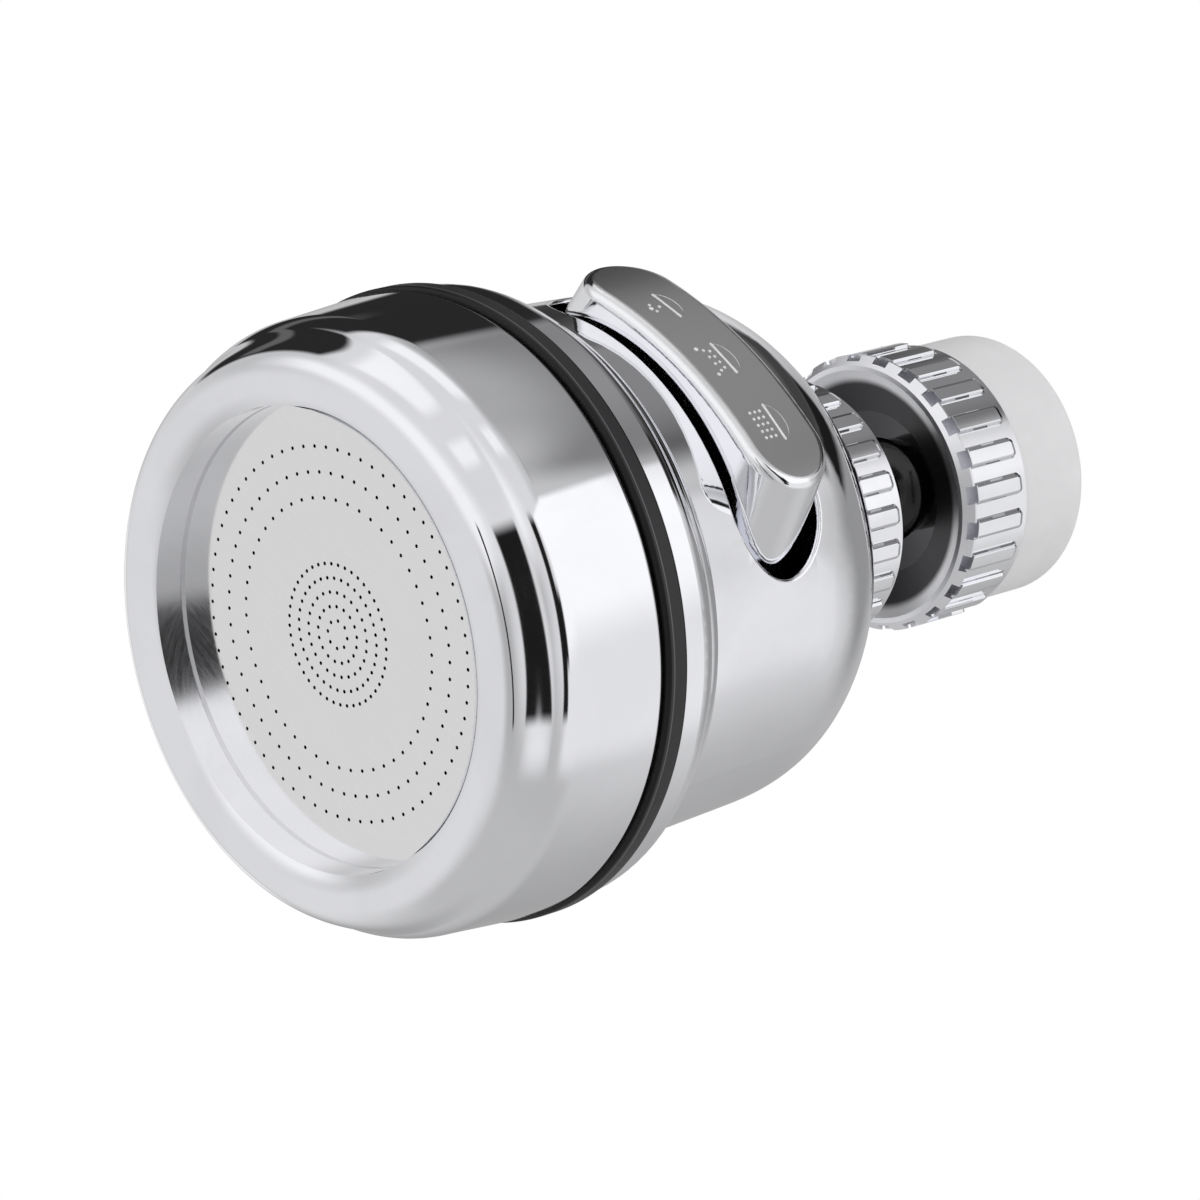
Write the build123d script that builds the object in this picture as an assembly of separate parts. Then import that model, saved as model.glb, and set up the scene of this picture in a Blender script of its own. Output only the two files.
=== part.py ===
from build123d import *
import os
from math import acos, cos, hypot, radians, sin, sqrt

# Swivel faucet extender: a spray head on a ball joint, with a rocker that moves a valve spool.
# Z is the axis of the ball joint, up to the tap. The origin is the middle of the tap
# connector's mouth, and the rocker lever faces -Y. Sizes are in millimetres.

# Clearances
RUNNING_FIT = 0.05
SEAT_FIT = 0.03
FREE_GAP = 0.3

# Tap connector
CONNECTOR_RADIUS = 13.1
CONNECTOR_STANDOUT = 9.2
CONNECTOR_ROUND = 1.8
THREAD_RADIUS = 11.0
THREAD_DEPTH = 4.8
WASHER_RADIUS = 10.2
WASHER_BORE = 7.0
WASHER_THICKNESS = 1.2
SCREEN_THICKNESS = 0.3
SOCKET_FLOOR = 0.8
SOCKET_FLOOR_BORE = 4.6
SOCKET_RADIUS = 7.9
SPIGOT_RADIUS = 11.7

# Ball joint
BALL_RADIUS = 6.0
BALL_FLAT = 2.9
BALL_CLEARANCE = 0.25
TILT_LIMIT = 20.0
WATERWAY_RADIUS = 2.2
NECK_RADIUS = 3.5
NECK_LENGTH = 8.0
SEAL_BORE = 4.9
SEAL_HEIGHT = 3.4
SLIP_RING_RADIUS = 8.6
SLIP_RING_HEIGHT = 2.3
SLIP_RING_DROP = 0.3

# Ball collar
COLLAR_RADIUS = 13.9
COLLAR_LENGTH = 8.8
COLLAR_LIP_RADIUS = 12.5
COLLAR_LIP_CHAMFER = 0.9
COLLAR_LIP_FLAT = 0.5
COLLAR_LIP_HEIGHT = 1.35
COLLAR_BACK_RIM = 1.0
LIP_GROOVE_WIDTH = 0.25
LIP_GROOVE_DEPTH = 0.35
THROAT_RADIUS = 5.3
THROAT_LAND = 0.25

# Grip panels, raised from the collar and from the neck nut
RIB_COUNT = 24
PANEL_WIDTH = 1.75
PANEL_DEPTH = 0.4
PANEL_CORNER = 0.45
NOTCH_DEPTH = 1.8
NOTCH_HEIGHT = 1.1

# Neck nut and stem flange
NECK_GAP = 8.4
NUT_RADIUS = 13.3
NUT_HEIGHT = 10.0
NUT_ROOF = 1.8
NUT_MOUTH = 8.8
NUT_BORE = 11.2
NUT_CHAMFER = 0.4
NUT_RIM = 0.7
FLARE_PLAY = 0.4
FLANGE_THICKNESS = 2.2
NECK_WASHER_THICKNESS = 1.5
NECK_WASHER_BORE = 5.4

# Head, over the trim ring
HEAD_RADIUS = 30.1

# Rear housing, each radius stepping in from the one before
HOUSING_HEIGHT = 36.3
BAND_INSET = 0.6
BAND_HEIGHT = 2.5
STEP_INSET = 1.3
STEP_RISE = 2.2
BEAD_INSET = 1.3
BEAD_RISE = 2.0
BODY_INSET = 0.8
WAIST_INSET = 0.7
WAIST_DROP = 14.6
DOME_INSET = 1.2
DOME_DROP = 7.1
BROW_INSET = 1.9
BROW_DROP = 4.1
TOP_INSET = 3.9
TOP_SLOPE = 45.0
HOUSING_WALL = 2.5
CAVITY_CORNER = 1.9
CAVITY_SLOPE = 9.5
ROOF_THICKNESS = 2.6
INLET_BORE = 5.0
LEDGE_WIDTH = 1.2
LEDGE_HEIGHT = 1.5
SKIRT_INSET = 2.9
SKIRT_LENGTH = 7.3

# Lever and its well
LEVER_DROP = 18.4
WELL_LENGTH = 36.2
WELL_WIDTH = 11.2
WELL_ROUND = 0.35
WELL_END_GAP = 1.0
WELL_SIDE_GAP = 0.45
LEVER_PROUD = 2.2
LEVER_HEIGHT = 15.3
LEVER_END_DRAFT = 1.65
LEVER_SIDE_DRAFT = 0.4
LEVER_CROWN_RADIUS = 46.0
LEVER_EDGE_ROUND = 1.1
PIVOT_DEPTH = 12.3
PIVOT_PIN_RADIUS = 1.0
HUB_RADIUS = 2.8
WEB_INSET = 1.0
FINGER_LENGTH = 10.0
FINGER_TIP_RADIUS = 1.4
FINGER_HEIGHT = 3.2
FINGER_PLAY = 0.1
ROCK_LIMIT = 5.0

# Valve body and spool
SPOOL_SETBACK = 3.8
SPOOL_RADIUS = 4.2
SPOOL_END_PLAY = 1.5
SPOOL_WAIST = 1.8
SEAL_WIRE = 0.7
SEAL_SQUEEZE_GAP = 0.05
SEAL_SIDES = 8
INNER_SEAL_LAND = 0.75
OUTER_SEAL_LAND = 1.1
SPOOL_LAND_RADIUS = 2.6
BARREL_RADIUS = 6.6
BARREL_END_ROOM = 6.6
PLUG_HEAD_RADIUS = 5.6
PLUG_HEAD_THICKNESS = 1.4
PLUG_LENGTH = 3.0
LUG_RADIUS = 2.2
LUG_THICKNESS = 2.2
TOWER_RADIUS = 7.0
MANIFOLD_RISE = 8.0
MANIFOLD_RADIUS = 3.4
MANIFOLD_END = 3.2
CHANNEL_RADIUS = 2.0
INLET_PORT_RADIUS = 1.4
OUTLET_PORT_RADIUS = 1.4
PORT_LAND = 3.6
PORT_PITCH = 3.6
TUBE_RADIUS = 4.85
TUBE_BORE = 2.4
TUBE_ENTRY = 3.5
INLET_SEAL_DROP = 2.4
VALVE_BASE_RISE = 6.7
VALVE_BASE_THICKNESS = 3.0
KEY_WIDTH = 3.0

# Distributor, seals and spray plate
GASKET_THICKNESS = 1.0
DISTRIBUTOR_DISC = 4.0
DISTRIBUTOR_WALL = 1.8
CHAMBER_RADIUS = 7.6
FEED_WIDTH = 3.2
FEED_DEPTH = 2.2
PLATE_THICKNESS = 0.4
PLATE_SEAT_WIDTH = 1.7
HOLE_RADIUS = 0.2
HOLE_SIDES = 6
INNER_RING_PITCH = 1.327
INNER_RING_COUNTS = (8, 17, 25, 35, 45)
INNER_RING_TURNS = (58.6, 42.8, 48.0, 45.9, 44.7)
OUTER_RING_RADII = (12.73, 15.12, 17.5)
OUTER_RING_COUNTS = (50, 60, 70)
OUTER_RING_TURN = 40.6

# Trim ring and front shell
TRIM_HEIGHT = 2.5
TRIM_ROUND = 0.4
FACE_DEPTH = 15.3
RIM_PROUD = 4.0
DRUM_INSET = 0.35
DRUM_ROUND = 0.9
DRUM_TAPER = 0.65
DRUM_FOOT_RISE = 3.2
SHOULDER_INSET = 0.25
SHOULDER_RISE = 1.7
VALLEY_INSET = 0.9
VALLEY_RISE = 0.4
CREST_INSET = 3.8
FLANK_SLOPE = 27.0
RIM_INNER_INSET = 1.5
RIM_INNER_DROP = 0.2
RECESS_INSET = 1.1
RECESS_DEPTH = 3.2
RECESS_CHAMFER = 0.3
SEAT_RING_HEIGHT = 2.0

# Levels along Z, from the connector's mouth down
WASHER_Z = -THREAD_DEPTH
SCREEN_Z = WASHER_Z - WASHER_THICKNESS
FLOOR_Z = SCREEN_Z - SCREEN_THICKNESS
SOCKET_Z = FLOOR_Z - SOCKET_FLOOR
BALL_RISE = BALL_RADIUS * cos(acos(BALL_FLAT / BALL_RADIUS) - radians(TILT_LIMIT))
BALL_Z = SOCKET_Z - BALL_CLEARANCE - BALL_RISE
SLIP_RING_Z = BALL_Z - SLIP_RING_DROP
SPIGOT_END_Z = SLIP_RING_Z + RUNNING_FIT
POCKET_Z = SLIP_RING_Z - SLIP_RING_HEIGHT - RUNNING_FIT
COLLAR_Z = -CONNECTOR_STANDOUT
COLLAR_END_Z = COLLAR_Z - COLLAR_LENGTH
FUNNEL_Z = BALL_Z - sqrt((BALL_RADIUS + BALL_CLEARANCE) ** 2 - THROAT_RADIUS**2) - THROAT_LAND
NUT_Z = COLLAR_END_Z - NECK_GAP
FLANGE_Z = NUT_Z - NUT_ROOF - RUNNING_FIT
NECK_WASHER_Z = FLANGE_Z - FLANGE_THICKNESS - RUNNING_FIT
INLET_Z = NECK_WASHER_Z - NECK_WASHER_THICKNESS
HOUSING_Z = NUT_Z - NUT_HEIGHT
ROOF_Z = HOUSING_Z - ROOF_THICKNESS
PARTING_Z = HOUSING_Z - HOUSING_HEIGHT
LEVER_Z = HOUSING_Z - LEVER_DROP
MANIFOLD_Z = LEVER_Z + MANIFOLD_RISE
VALVE_BASE_Z = PARTING_Z + VALVE_BASE_RISE
GASKET_Z = VALVE_BASE_Z - VALVE_BASE_THICKNESS
DISTRIBUTOR_Z = GASKET_Z - GASKET_THICKNESS
FACE_Z = PARTING_Z - FACE_DEPTH
PLATE_SEAL_Z = FACE_Z + PLATE_THICKNESS + GASKET_THICKNESS
DRUM_Z = PARTING_Z - TRIM_HEIGHT
RIM_Z = FACE_Z - RIM_PROUD

# Radii of the housing, from the trim ring in
BAND_RADIUS = HEAD_RADIUS - BAND_INSET
STEP_RADIUS = BAND_RADIUS - STEP_INSET
BEAD_RADIUS = STEP_RADIUS - BEAD_INSET
BODY_RADIUS = BEAD_RADIUS - BODY_INSET
WAIST_RADIUS = BODY_RADIUS - WAIST_INSET
DOME_RADIUS = WAIST_RADIUS - DOME_INSET
BROW_RADIUS = DOME_RADIUS - BROW_INSET
HOUSING_TOP_RADIUS = BROW_RADIUS - TOP_INSET
CAVITY_RADIUS = BODY_RADIUS - HOUSING_WALL
CAVITY_TOP_RADIUS = HOUSING_TOP_RADIUS - CAVITY_CORNER
SKIRT_RADIUS = BAND_RADIUS - SKIRT_INSET

# Radii of the front shell, from the trim ring in
DRUM_RADIUS = HEAD_RADIUS - DRUM_INSET
DRUM_FOOT_RADIUS = DRUM_RADIUS - DRUM_TAPER
SHOULDER_RADIUS = DRUM_FOOT_RADIUS - SHOULDER_INSET
VALLEY_RADIUS = DRUM_FOOT_RADIUS - VALLEY_INSET
RIM_CREST_RADIUS = VALLEY_RADIUS - CREST_INSET
RIM_INNER_RADIUS = RIM_CREST_RADIUS - RIM_INNER_INSET
RECESS_RADIUS = RIM_INNER_RADIUS - RECESS_INSET

# Lever, from its well and from the housing's body
LEVER_FOOT_LENGTH = WELL_LENGTH - 2 * WELL_END_GAP
LEVER_FOOT_WIDTH = WELL_WIDTH - 2 * WELL_SIDE_GAP
LEVER_CREST_LENGTH = LEVER_FOOT_LENGTH - 2 * LEVER_END_DRAFT
LEVER_CREST_WIDTH = LEVER_FOOT_WIDTH - 2 * LEVER_SIDE_DRAFT
LEVER_CREST = BODY_RADIUS + LEVER_PROUD
LEVER_FOOT = LEVER_CREST - LEVER_HEIGHT
PIVOT_SETBACK = LEVER_CREST - PIVOT_DEPTH

# Places that several pieces share
FINGER_TIP_Y = FINGER_LENGTH - PIVOT_SETBACK
SPOOL_Y = FINGER_TIP_Y + SPOOL_SETBACK
SPOOL_STROKE = FINGER_LENGTH * sin(radians(ROCK_LIMIT))
BARREL_BORE = SPOOL_RADIUS + RUNNING_FIT
BARREL_LENGTH = 2 * (CAVITY_RADIUS - BARREL_END_ROOM)
SPOOL_LENGTH = BARREL_LENGTH - 2 * (PLUG_LENGTH + SPOOL_STROKE + SPOOL_END_PLAY)
SEAL_SEAT = SEAL_WIRE + SEAL_SQUEEZE_GAP
INNER_SEAL_OFFSET = FINGER_TIP_RADIUS + FINGER_PLAY + INNER_SEAL_LAND + SEAL_SEAT
OUTER_SEAL_OFFSET = SPOOL_LENGTH / 2 - OUTER_SEAL_LAND - SEAL_SEAT
SPOOL_SEAL_OFFSETS = (INNER_SEAL_OFFSET, OUTER_SEAL_OFFSET)
OUTLET_PORT_OFFSET = BARREL_LENGTH / 2 - PLUG_LENGTH - PORT_LAND
INLET_PORT_OFFSET = OUTLET_PORT_OFFSET - PORT_PITCH
MANIFOLD_LENGTH = 2 * (INLET_PORT_OFFSET + MANIFOLD_END)
LUG_OFFSET = LEVER_FOOT_WIDTH / 2 + FREE_GAP
PLATE_RADIUS = RECESS_RADIUS + PLATE_SEAT_WIDTH
SEAT_RADIUS = PLATE_RADIUS + SEAT_FIT
THREADED_DRUM_RADIUS = SKIRT_RADIUS + SEAT_FIT
CORE_RADIUS = CAVITY_RADIUS - FREE_GAP


def up(radius, height):
    """A point of a turned profile, at a radius and a height."""
    return (radius, 0, height)


def turned(*outline):
    """Solid of revolution about Z from the corners of its profile."""
    corners = [up(radius, height) for radius, height in outline]
    return revolve(make_face(Polyline(*corners, close=True)), Axis.Z)


def ring(outer, inner, top, height):
    """Plain ring about Z, hanging from its top face."""
    bottom = top - height
    return turned((inner, top), (outer, top), (outer, bottom), (inner, bottom))


def upright(radius, top, bottom, x=0, y=0):
    """Cylinder along Z between two heights."""
    return Pos(x, y, (top + bottom) / 2) * Cylinder(radius, top - bottom)


def crosswise(radius, length, x=0, y=0, z=0):
    """Cylinder along X, centred on a point."""
    return Pos(x, y, z) * Rot(0, 90, 0) * Cylinder(radius, length)


def block(x_size, y_range, z_middle, z_size, x=0):
    """Box centred on x, between two values of y."""
    y_low, y_high = y_range
    return Pos(x, (y_low + y_high) / 2, z_middle) * Box(x_size, y_high - y_low, z_size)


def around(count, radius, turn=0):
    """Places spread evenly round Z, each with its X axis pointing outwards."""
    return PolarLocations(radius, count, start_angle=turn)


def seal_ring(outer, wire_radius):
    """O-ring about Z with an eight-sided section."""
    section = Plane.XZ * Pos(outer - wire_radius, 0) * RegularPolygon(wire_radius, SEAL_SIDES)
    return revolve(section, Axis.Z)


def tap_connector():
    """White adapter: the tap's thread above, the socket of the ball below."""
    body = turned(
        (SOCKET_RADIUS, SPIGOT_END_Z),
        (SPIGOT_RADIUS, SPIGOT_END_Z),
        (SPIGOT_RADIUS, COLLAR_Z),
        (CONNECTOR_RADIUS, COLLAR_Z),
        (CONNECTOR_RADIUS, 0),
        (THREAD_RADIUS, 0),
        (THREAD_RADIUS, WASHER_Z),
        (WASHER_RADIUS, WASHER_Z),
        (WASHER_RADIUS, FLOOR_Z),
        (SOCKET_FLOOR_BORE, FLOOR_Z),
        (SOCKET_FLOOR_BORE, SOCKET_Z),
        (SOCKET_RADIUS, SOCKET_Z),
    )
    mouth = body.faces().sort_by(Axis.Z)[-1]
    rim = mouth.edges().sort_by(SortBy.RADIUS)[-1]
    wall = CONNECTOR_RADIUS - THREAD_RADIUS
    return fillet(rim, min(CONNECTOR_ROUND, wall / 2))


def ball_seal():
    """Rubber seat above the ball, hollowed to the ball's curve."""
    blank = ring(SOCKET_RADIUS - SEAT_FIT, SEAL_BORE, SOCKET_Z, SEAL_HEIGHT)
    return blank - Pos(0, 0, BALL_Z) * Sphere(BALL_RADIUS + RUNNING_FIT)


def slip_ring():
    """Bearing ring below the ball's equator, which turns in the collar."""
    blank = upright(SLIP_RING_RADIUS, SLIP_RING_Z, SLIP_RING_Z - SLIP_RING_HEIGHT)
    return blank - Pos(0, 0, BALL_Z) * Sphere(BALL_RADIUS + RUNNING_FIT)


def grip_valleys(outer, top, bottom, rim):
    """Cutter that leaves round-cornered grip panels standing on a ring, below a plain rim."""
    sleeve = ring(outer + FREE_GAP, outer - PANEL_DEPTH, top, top - bottom)
    height = top - rim - bottom + FREE_GAP
    panel = Box(4 * PANEL_DEPTH, PANEL_WIDTH, height)
    corners = panel.edges().filter_by(Axis.X).group_by(Axis.Z)[-1]
    panel = fillet(corners, PANEL_CORNER)
    centre = Pos(0, 0, top - rim - height / 2)
    return sleeve - [centre * place * panel for place in around(RIB_COUNT, outer)]


def lip_notches():
    """Notches in the collar's lip, one at the foot of each grip panel."""
    middle = COLLAR_RADIUS - NOTCH_DEPTH + COLLAR_RADIUS / 2
    height = COLLAR_END_Z + COLLAR_LIP_CHAMFER
    notch = Box(COLLAR_RADIUS, PANEL_WIDTH, NOTCH_HEIGHT)
    return [Pos(0, 0, height) * place * notch for place in around(RIB_COUNT, middle)]


def ball_collar():
    """Ribbed union nut with a funnel mouth for the stem."""
    lip_outer = COLLAR_LIP_RADIUS + COLLAR_LIP_FLAT
    body = turned(
        (SPIGOT_RADIUS + SEAT_FIT, COLLAR_Z),
        (COLLAR_RADIUS, COLLAR_Z),
        (COLLAR_RADIUS, COLLAR_END_Z + COLLAR_LIP_CHAMFER),
        (lip_outer, COLLAR_END_Z),
        (COLLAR_LIP_RADIUS, COLLAR_END_Z),
        (THROAT_RADIUS, FUNNEL_Z),
        (THROAT_RADIUS, POCKET_Z),
        (SLIP_RING_RADIUS + RUNNING_FIT, POCKET_Z),
        (SLIP_RING_RADIUS + RUNNING_FIT, SPIGOT_END_Z),
        (SPIGOT_RADIUS + SEAT_FIT, SPIGOT_END_Z),
    )
    body -= Pos(0, 0, BALL_Z) * Sphere(BALL_RADIUS + BALL_CLEARANCE)
    lip_top = COLLAR_END_Z + COLLAR_LIP_HEIGHT
    body -= ring(COLLAR_RADIUS + FREE_GAP, COLLAR_RADIUS - LIP_GROOVE_DEPTH, lip_top, LIP_GROOVE_WIDTH)
    body -= grip_valleys(COLLAR_RADIUS, COLLAR_Z, lip_top, COLLAR_BACK_RIM)
    return body - lip_notches()


def ball_stem():
    """Hollow ball, neck, flare and flange in one moulding."""
    flare = NUT_MOUTH - FLARE_PLAY
    flange_end = FLANGE_Z - FLANGE_THICKNESS
    neck = turned(
        (0, BALL_Z),
        (NECK_RADIUS, BALL_Z),
        (NECK_RADIUS, BALL_Z - NECK_LENGTH),
        (flare, NUT_Z + FREE_GAP),
        (flare, FLANGE_Z),
        (NUT_BORE - FREE_GAP, FLANGE_Z),
        (NUT_BORE - FREE_GAP, flange_end),
        (0, flange_end),
    )
    ball = Pos(0, 0, BALL_Z) * Sphere(BALL_RADIUS)
    ball -= upright(BALL_RADIUS, BALL_Z + 2 * BALL_RADIUS, BALL_Z + BALL_FLAT)
    return ball + neck - upright(WATERWAY_RADIUS, BALL_Z + BALL_RADIUS, flange_end)


def neck_nut():
    """Ribbed nut that traps the stem's flange on the housing's inlet."""
    body = turned(
        (NUT_MOUTH, NUT_Z),
        (NUT_RADIUS - NUT_CHAMFER, NUT_Z),
        (NUT_RADIUS, NUT_Z - NUT_CHAMFER),
        (NUT_RADIUS, HOUSING_Z),
        (NUT_BORE, HOUSING_Z),
        (NUT_BORE, NUT_Z - NUT_ROOF),
        (NUT_MOUTH, NUT_Z - NUT_ROOF),
    )
    return body - grip_valleys(NUT_RADIUS, NUT_Z, HOUSING_Z, NUT_RIM)


def neck_washer():
    """Flat rubber washer under the stem's flange."""
    return ring(NUT_BORE - FREE_GAP, NECK_WASHER_BORE, NECK_WASHER_Z, NECK_WASHER_THICKNESS)


def housing_shell():
    """Turned blank of the housing: skirt, band, two shoulders and dome outside, cavity inside."""
    band_top = PARTING_Z + BAND_HEIGHT
    step_top = band_top + STEP_RISE
    bead_top = step_top + BEAD_RISE
    skirt_end = PARTING_Z - SKIRT_LENGTH
    inlet = NUT_BORE - SEAT_FIT
    outside = Polyline(
        up(CAVITY_RADIUS, skirt_end),
        up(SKIRT_RADIUS, skirt_end),
        up(SKIRT_RADIUS, PARTING_Z),
        up(BAND_RADIUS, PARTING_Z),
        up(BAND_RADIUS, band_top),
    )
    outside += TangentArc(up(BAND_RADIUS, band_top), up(STEP_RADIUS, step_top), tangent=(0, 0, 1))
    outside += TangentArc(up(STEP_RADIUS, step_top), up(BEAD_RADIUS, bead_top), tangent=(0, 0, 1))
    outside += Line(up(BEAD_RADIUS, bead_top), up(BODY_RADIUS, bead_top))
    waist = HOUSING_Z - WAIST_DROP
    outside += Line(up(BODY_RADIUS, bead_top), up(WAIST_RADIUS, waist))
    outside += Spline(
        up(WAIST_RADIUS, waist),
        up(DOME_RADIUS, HOUSING_Z - DOME_DROP),
        up(BROW_RADIUS, HOUSING_Z - BROW_DROP),
        up(HOUSING_TOP_RADIUS, HOUSING_Z),
        tangents=[
            up(WAIST_RADIUS - BODY_RADIUS, waist - bead_top),
            up(-cos(radians(TOP_SLOPE)), sin(radians(TOP_SLOPE))),
        ],
    )
    outside += Polyline(up(HOUSING_TOP_RADIUS, HOUSING_Z), up(inlet, HOUSING_Z), up(inlet, INLET_Z))
    outside += Polyline(up(inlet, INLET_Z), up(INLET_BORE, INLET_Z), up(INLET_BORE, ROOF_Z))
    inside = Polyline(
        up(INLET_BORE, ROOF_Z),
        up(CAVITY_TOP_RADIUS, ROOF_Z),
        up(CAVITY_RADIUS, ROOF_Z - CAVITY_SLOPE),
        up(CAVITY_RADIUS, skirt_end),
    )
    return revolve(make_face(outside + inside), Axis.Z)


def well_opening():
    """Stadium-shaped cutter along Y for the lever's well."""
    plane = Plane((0, 0, LEVER_Z), x_dir=(1, 0, 0), z_dir=(0, -1, 0))
    return extrude(plane * SlotOverall(WELL_LENGTH, WELL_WIDTH), BAND_RADIUS)


def well_rim(body):
    """Edges where the well opens in the housing's outside."""
    outside = CAVITY_RADIUS + HOUSING_WALL / 4
    near = body.edges().filter_by_position(Axis.Z, LEVER_Z - WELL_WIDTH, LEVER_Z + WELL_WIDTH)
    front = near.filter_by(lambda edge: (edge @ 0).Y < -FREE_GAP and (edge @ 1).Y < -FREE_GAP)
    return front.filter_by(lambda edge: hypot((edge @ 0.5).X, (edge @ 0.5).Y) > outside)


def base_key(growth):
    """Key at the back of the valve's base, or its slot when grown."""
    inner = CAVITY_RADIUS - 2 * LEDGE_WIDTH
    outer = CAVITY_RADIUS - LEDGE_WIDTH / 2
    return block(
        KEY_WIDTH + 2 * growth,
        (inner, outer + growth),
        VALVE_BASE_Z + LEDGE_HEIGHT / 2,
        LEDGE_HEIGHT + 2 * growth,
    )


def rear_housing():
    """Chrome dome with the lever's well, a ledge and a key slot for the valve."""
    ledge_top = VALVE_BASE_Z + LEDGE_HEIGHT
    ledge = ring(CAVITY_RADIUS + LEDGE_WIDTH, CAVITY_RADIUS - LEDGE_WIDTH, ledge_top, LEDGE_HEIGHT)
    body = housing_shell() + ledge - well_opening()
    return fillet(well_rim(body), WELL_ROUND) - base_key(SEAT_FIT)


def lever_section(length, width, depth):
    """Stadium outline of the lever at a distance in front of the axis."""
    plane = Plane((0, -depth, LEVER_Z), x_dir=(1, 0, 0), z_dir=(0, -1, 0))
    return plane * SlotOverall(length, width)


def lever_cap():
    """Drafted stadium with a crowned top and a soft top edge."""
    foot = lever_section(LEVER_FOOT_LENGTH, LEVER_FOOT_WIDTH, LEVER_FOOT)
    crest = lever_section(LEVER_CREST_LENGTH, LEVER_CREST_WIDTH, LEVER_CREST)
    crown = Pos(0, LEVER_CROWN_RADIUS - LEVER_CREST, LEVER_Z)
    cap = loft([foot, crest]) & crown * Cylinder(LEVER_CROWN_RADIUS, 2 * LEVER_FOOT_WIDTH)
    top = cap.faces().sort_by(Axis.Y)[0]
    return fillet(top.edges(), LEVER_EDGE_ROUND)


def lever():
    """Rocker cap with its hub and the finger that moves the spool, pressed in at its left end."""
    pivot = Pos(0, -PIVOT_SETBACK, LEVER_Z)
    hub = pivot * Cylinder(HUB_RADIUS, LEVER_FOOT_WIDTH)
    web_height = LEVER_FOOT_WIDTH - 2 * WEB_INSET
    web = block(2 * HUB_RADIUS, (-LEVER_CREST + HUB_RADIUS, -PIVOT_SETBACK), LEVER_Z, web_height)
    finger = block(2 * FINGER_TIP_RADIUS, (-PIVOT_SETBACK, FINGER_TIP_Y), LEVER_Z, FINGER_HEIGHT)
    tip = Pos(0, FINGER_TIP_Y, LEVER_Z) * Cylinder(FINGER_TIP_RADIUS, FINGER_HEIGHT)
    hole = pivot * Cylinder(PIVOT_PIN_RADIUS + RUNNING_FIT, 2 * LEVER_FOOT_WIDTH)
    straight = lever_cap() + web + hub + finger + tip - hole
    return pivot * Rot(0, 0, -ROCK_LIMIT) * pivot.inverse() * straight


def lever_pin():
    """Steel pin through the lugs and the lever's hub."""
    return Pos(0, -PIVOT_SETBACK, LEVER_Z) * Cylinder(PIVOT_PIN_RADIUS, 2 * (LUG_OFFSET + LUG_THICKNESS))


def lever_lugs():
    """Two arms that carry the lever's pin, above and below its hub."""
    arms = []
    for side in (-1, 1):
        height = LEVER_Z + side * (LUG_OFFSET + LUG_THICKNESS / 2)
        arms.append(block(2 * LUG_RADIUS, (-PIVOT_SETBACK, SPOOL_Y), height, LUG_THICKNESS))
        arms.append(Pos(0, -PIVOT_SETBACK, height) * Cylinder(LUG_RADIUS, LUG_THICKNESS))
    return arms


def inlet_groove_place():
    """Place of the O-ring round the valve's inlet tube."""
    return Pos(0, 0, HOUSING_Z - INLET_SEAL_DROP + ROOF_THICKNESS)


def valve_passages():
    """Waterways of the valve: inlet, manifold, ports, cross bore and finger window."""
    cuts = [
        upright(TUBE_BORE, INLET_Z, MANIFOLD_Z),
        crosswise(CHANNEL_RADIUS, 2 * (INLET_PORT_OFFSET + INLET_PORT_RADIUS), z=MANIFOLD_Z),
        crosswise(BARREL_BORE, BARREL_LENGTH, y=SPOOL_Y, z=LEVER_Z),
    ]
    for side in (-1, 1):
        cuts.append(upright(INLET_PORT_RADIUS, MANIFOLD_Z, LEVER_Z, side * INLET_PORT_OFFSET, SPOOL_Y / 2))
        cuts.append(upright(OUTLET_PORT_RADIUS, LEVER_Z, GASKET_Z, side * OUTLET_PORT_OFFSET, SPOOL_Y))
    window = 2 * (FINGER_TIP_RADIUS + SPOOL_STROKE + 2 * FREE_GAP)
    cuts.append(block(window, (-TOWER_RADIUS + SPOOL_Y, SPOOL_Y), LEVER_Z, FINGER_HEIGHT + 4 * FREE_GAP))
    cuts.append(Pos(0, -PIVOT_SETBACK, LEVER_Z) * Cylinder(PIVOT_PIN_RADIUS + SEAT_FIT, 4 * LUG_OFFSET))
    return cuts


def valve_body():
    """Moulded valve core: base, tower, barrel, manifold, inlet tube and lever lugs."""
    tube_top = HOUSING_Z + TUBE_ENTRY
    body = upright(CORE_RADIUS, VALVE_BASE_Z, GASKET_Z)
    body += upright(TOWER_RADIUS, MANIFOLD_Z, VALVE_BASE_Z)
    body += crosswise(BARREL_RADIUS, BARREL_LENGTH, y=SPOOL_Y, z=LEVER_Z)
    body += crosswise(MANIFOLD_RADIUS, MANIFOLD_LENGTH, z=MANIFOLD_Z)
    body += upright(TUBE_RADIUS, tube_top, MANIFOLD_Z)
    for side in (-1, 1):
        body += upright(OUTLET_PORT_RADIUS * 2, LEVER_Z, VALVE_BASE_Z, side * OUTLET_PORT_OFFSET, SPOOL_Y)
    body += lever_lugs()
    body += base_key(0)
    for passage in valve_passages():
        body -= passage
    seat = Cylinder(TUBE_RADIUS + FREE_GAP, 2 * SEAL_SEAT)
    seat -= Cylinder(TUBE_RADIUS - 2 * SEAL_SEAT, 2 * SEAL_SEAT)
    return body - inlet_groove_place() * seat


def inlet_o_ring():
    """O-ring that seals the valve's tube in the housing's inlet."""
    return inlet_groove_place() * seal_ring(TUBE_RADIUS, SEAL_WIRE)


def spool_place(offset):
    """Place on the spool, which rests at the right end of its stroke, with Z along it."""
    return Pos(SPOOL_STROKE + offset, SPOOL_Y, LEVER_Z) * Rot(0, 90, 0)


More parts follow.
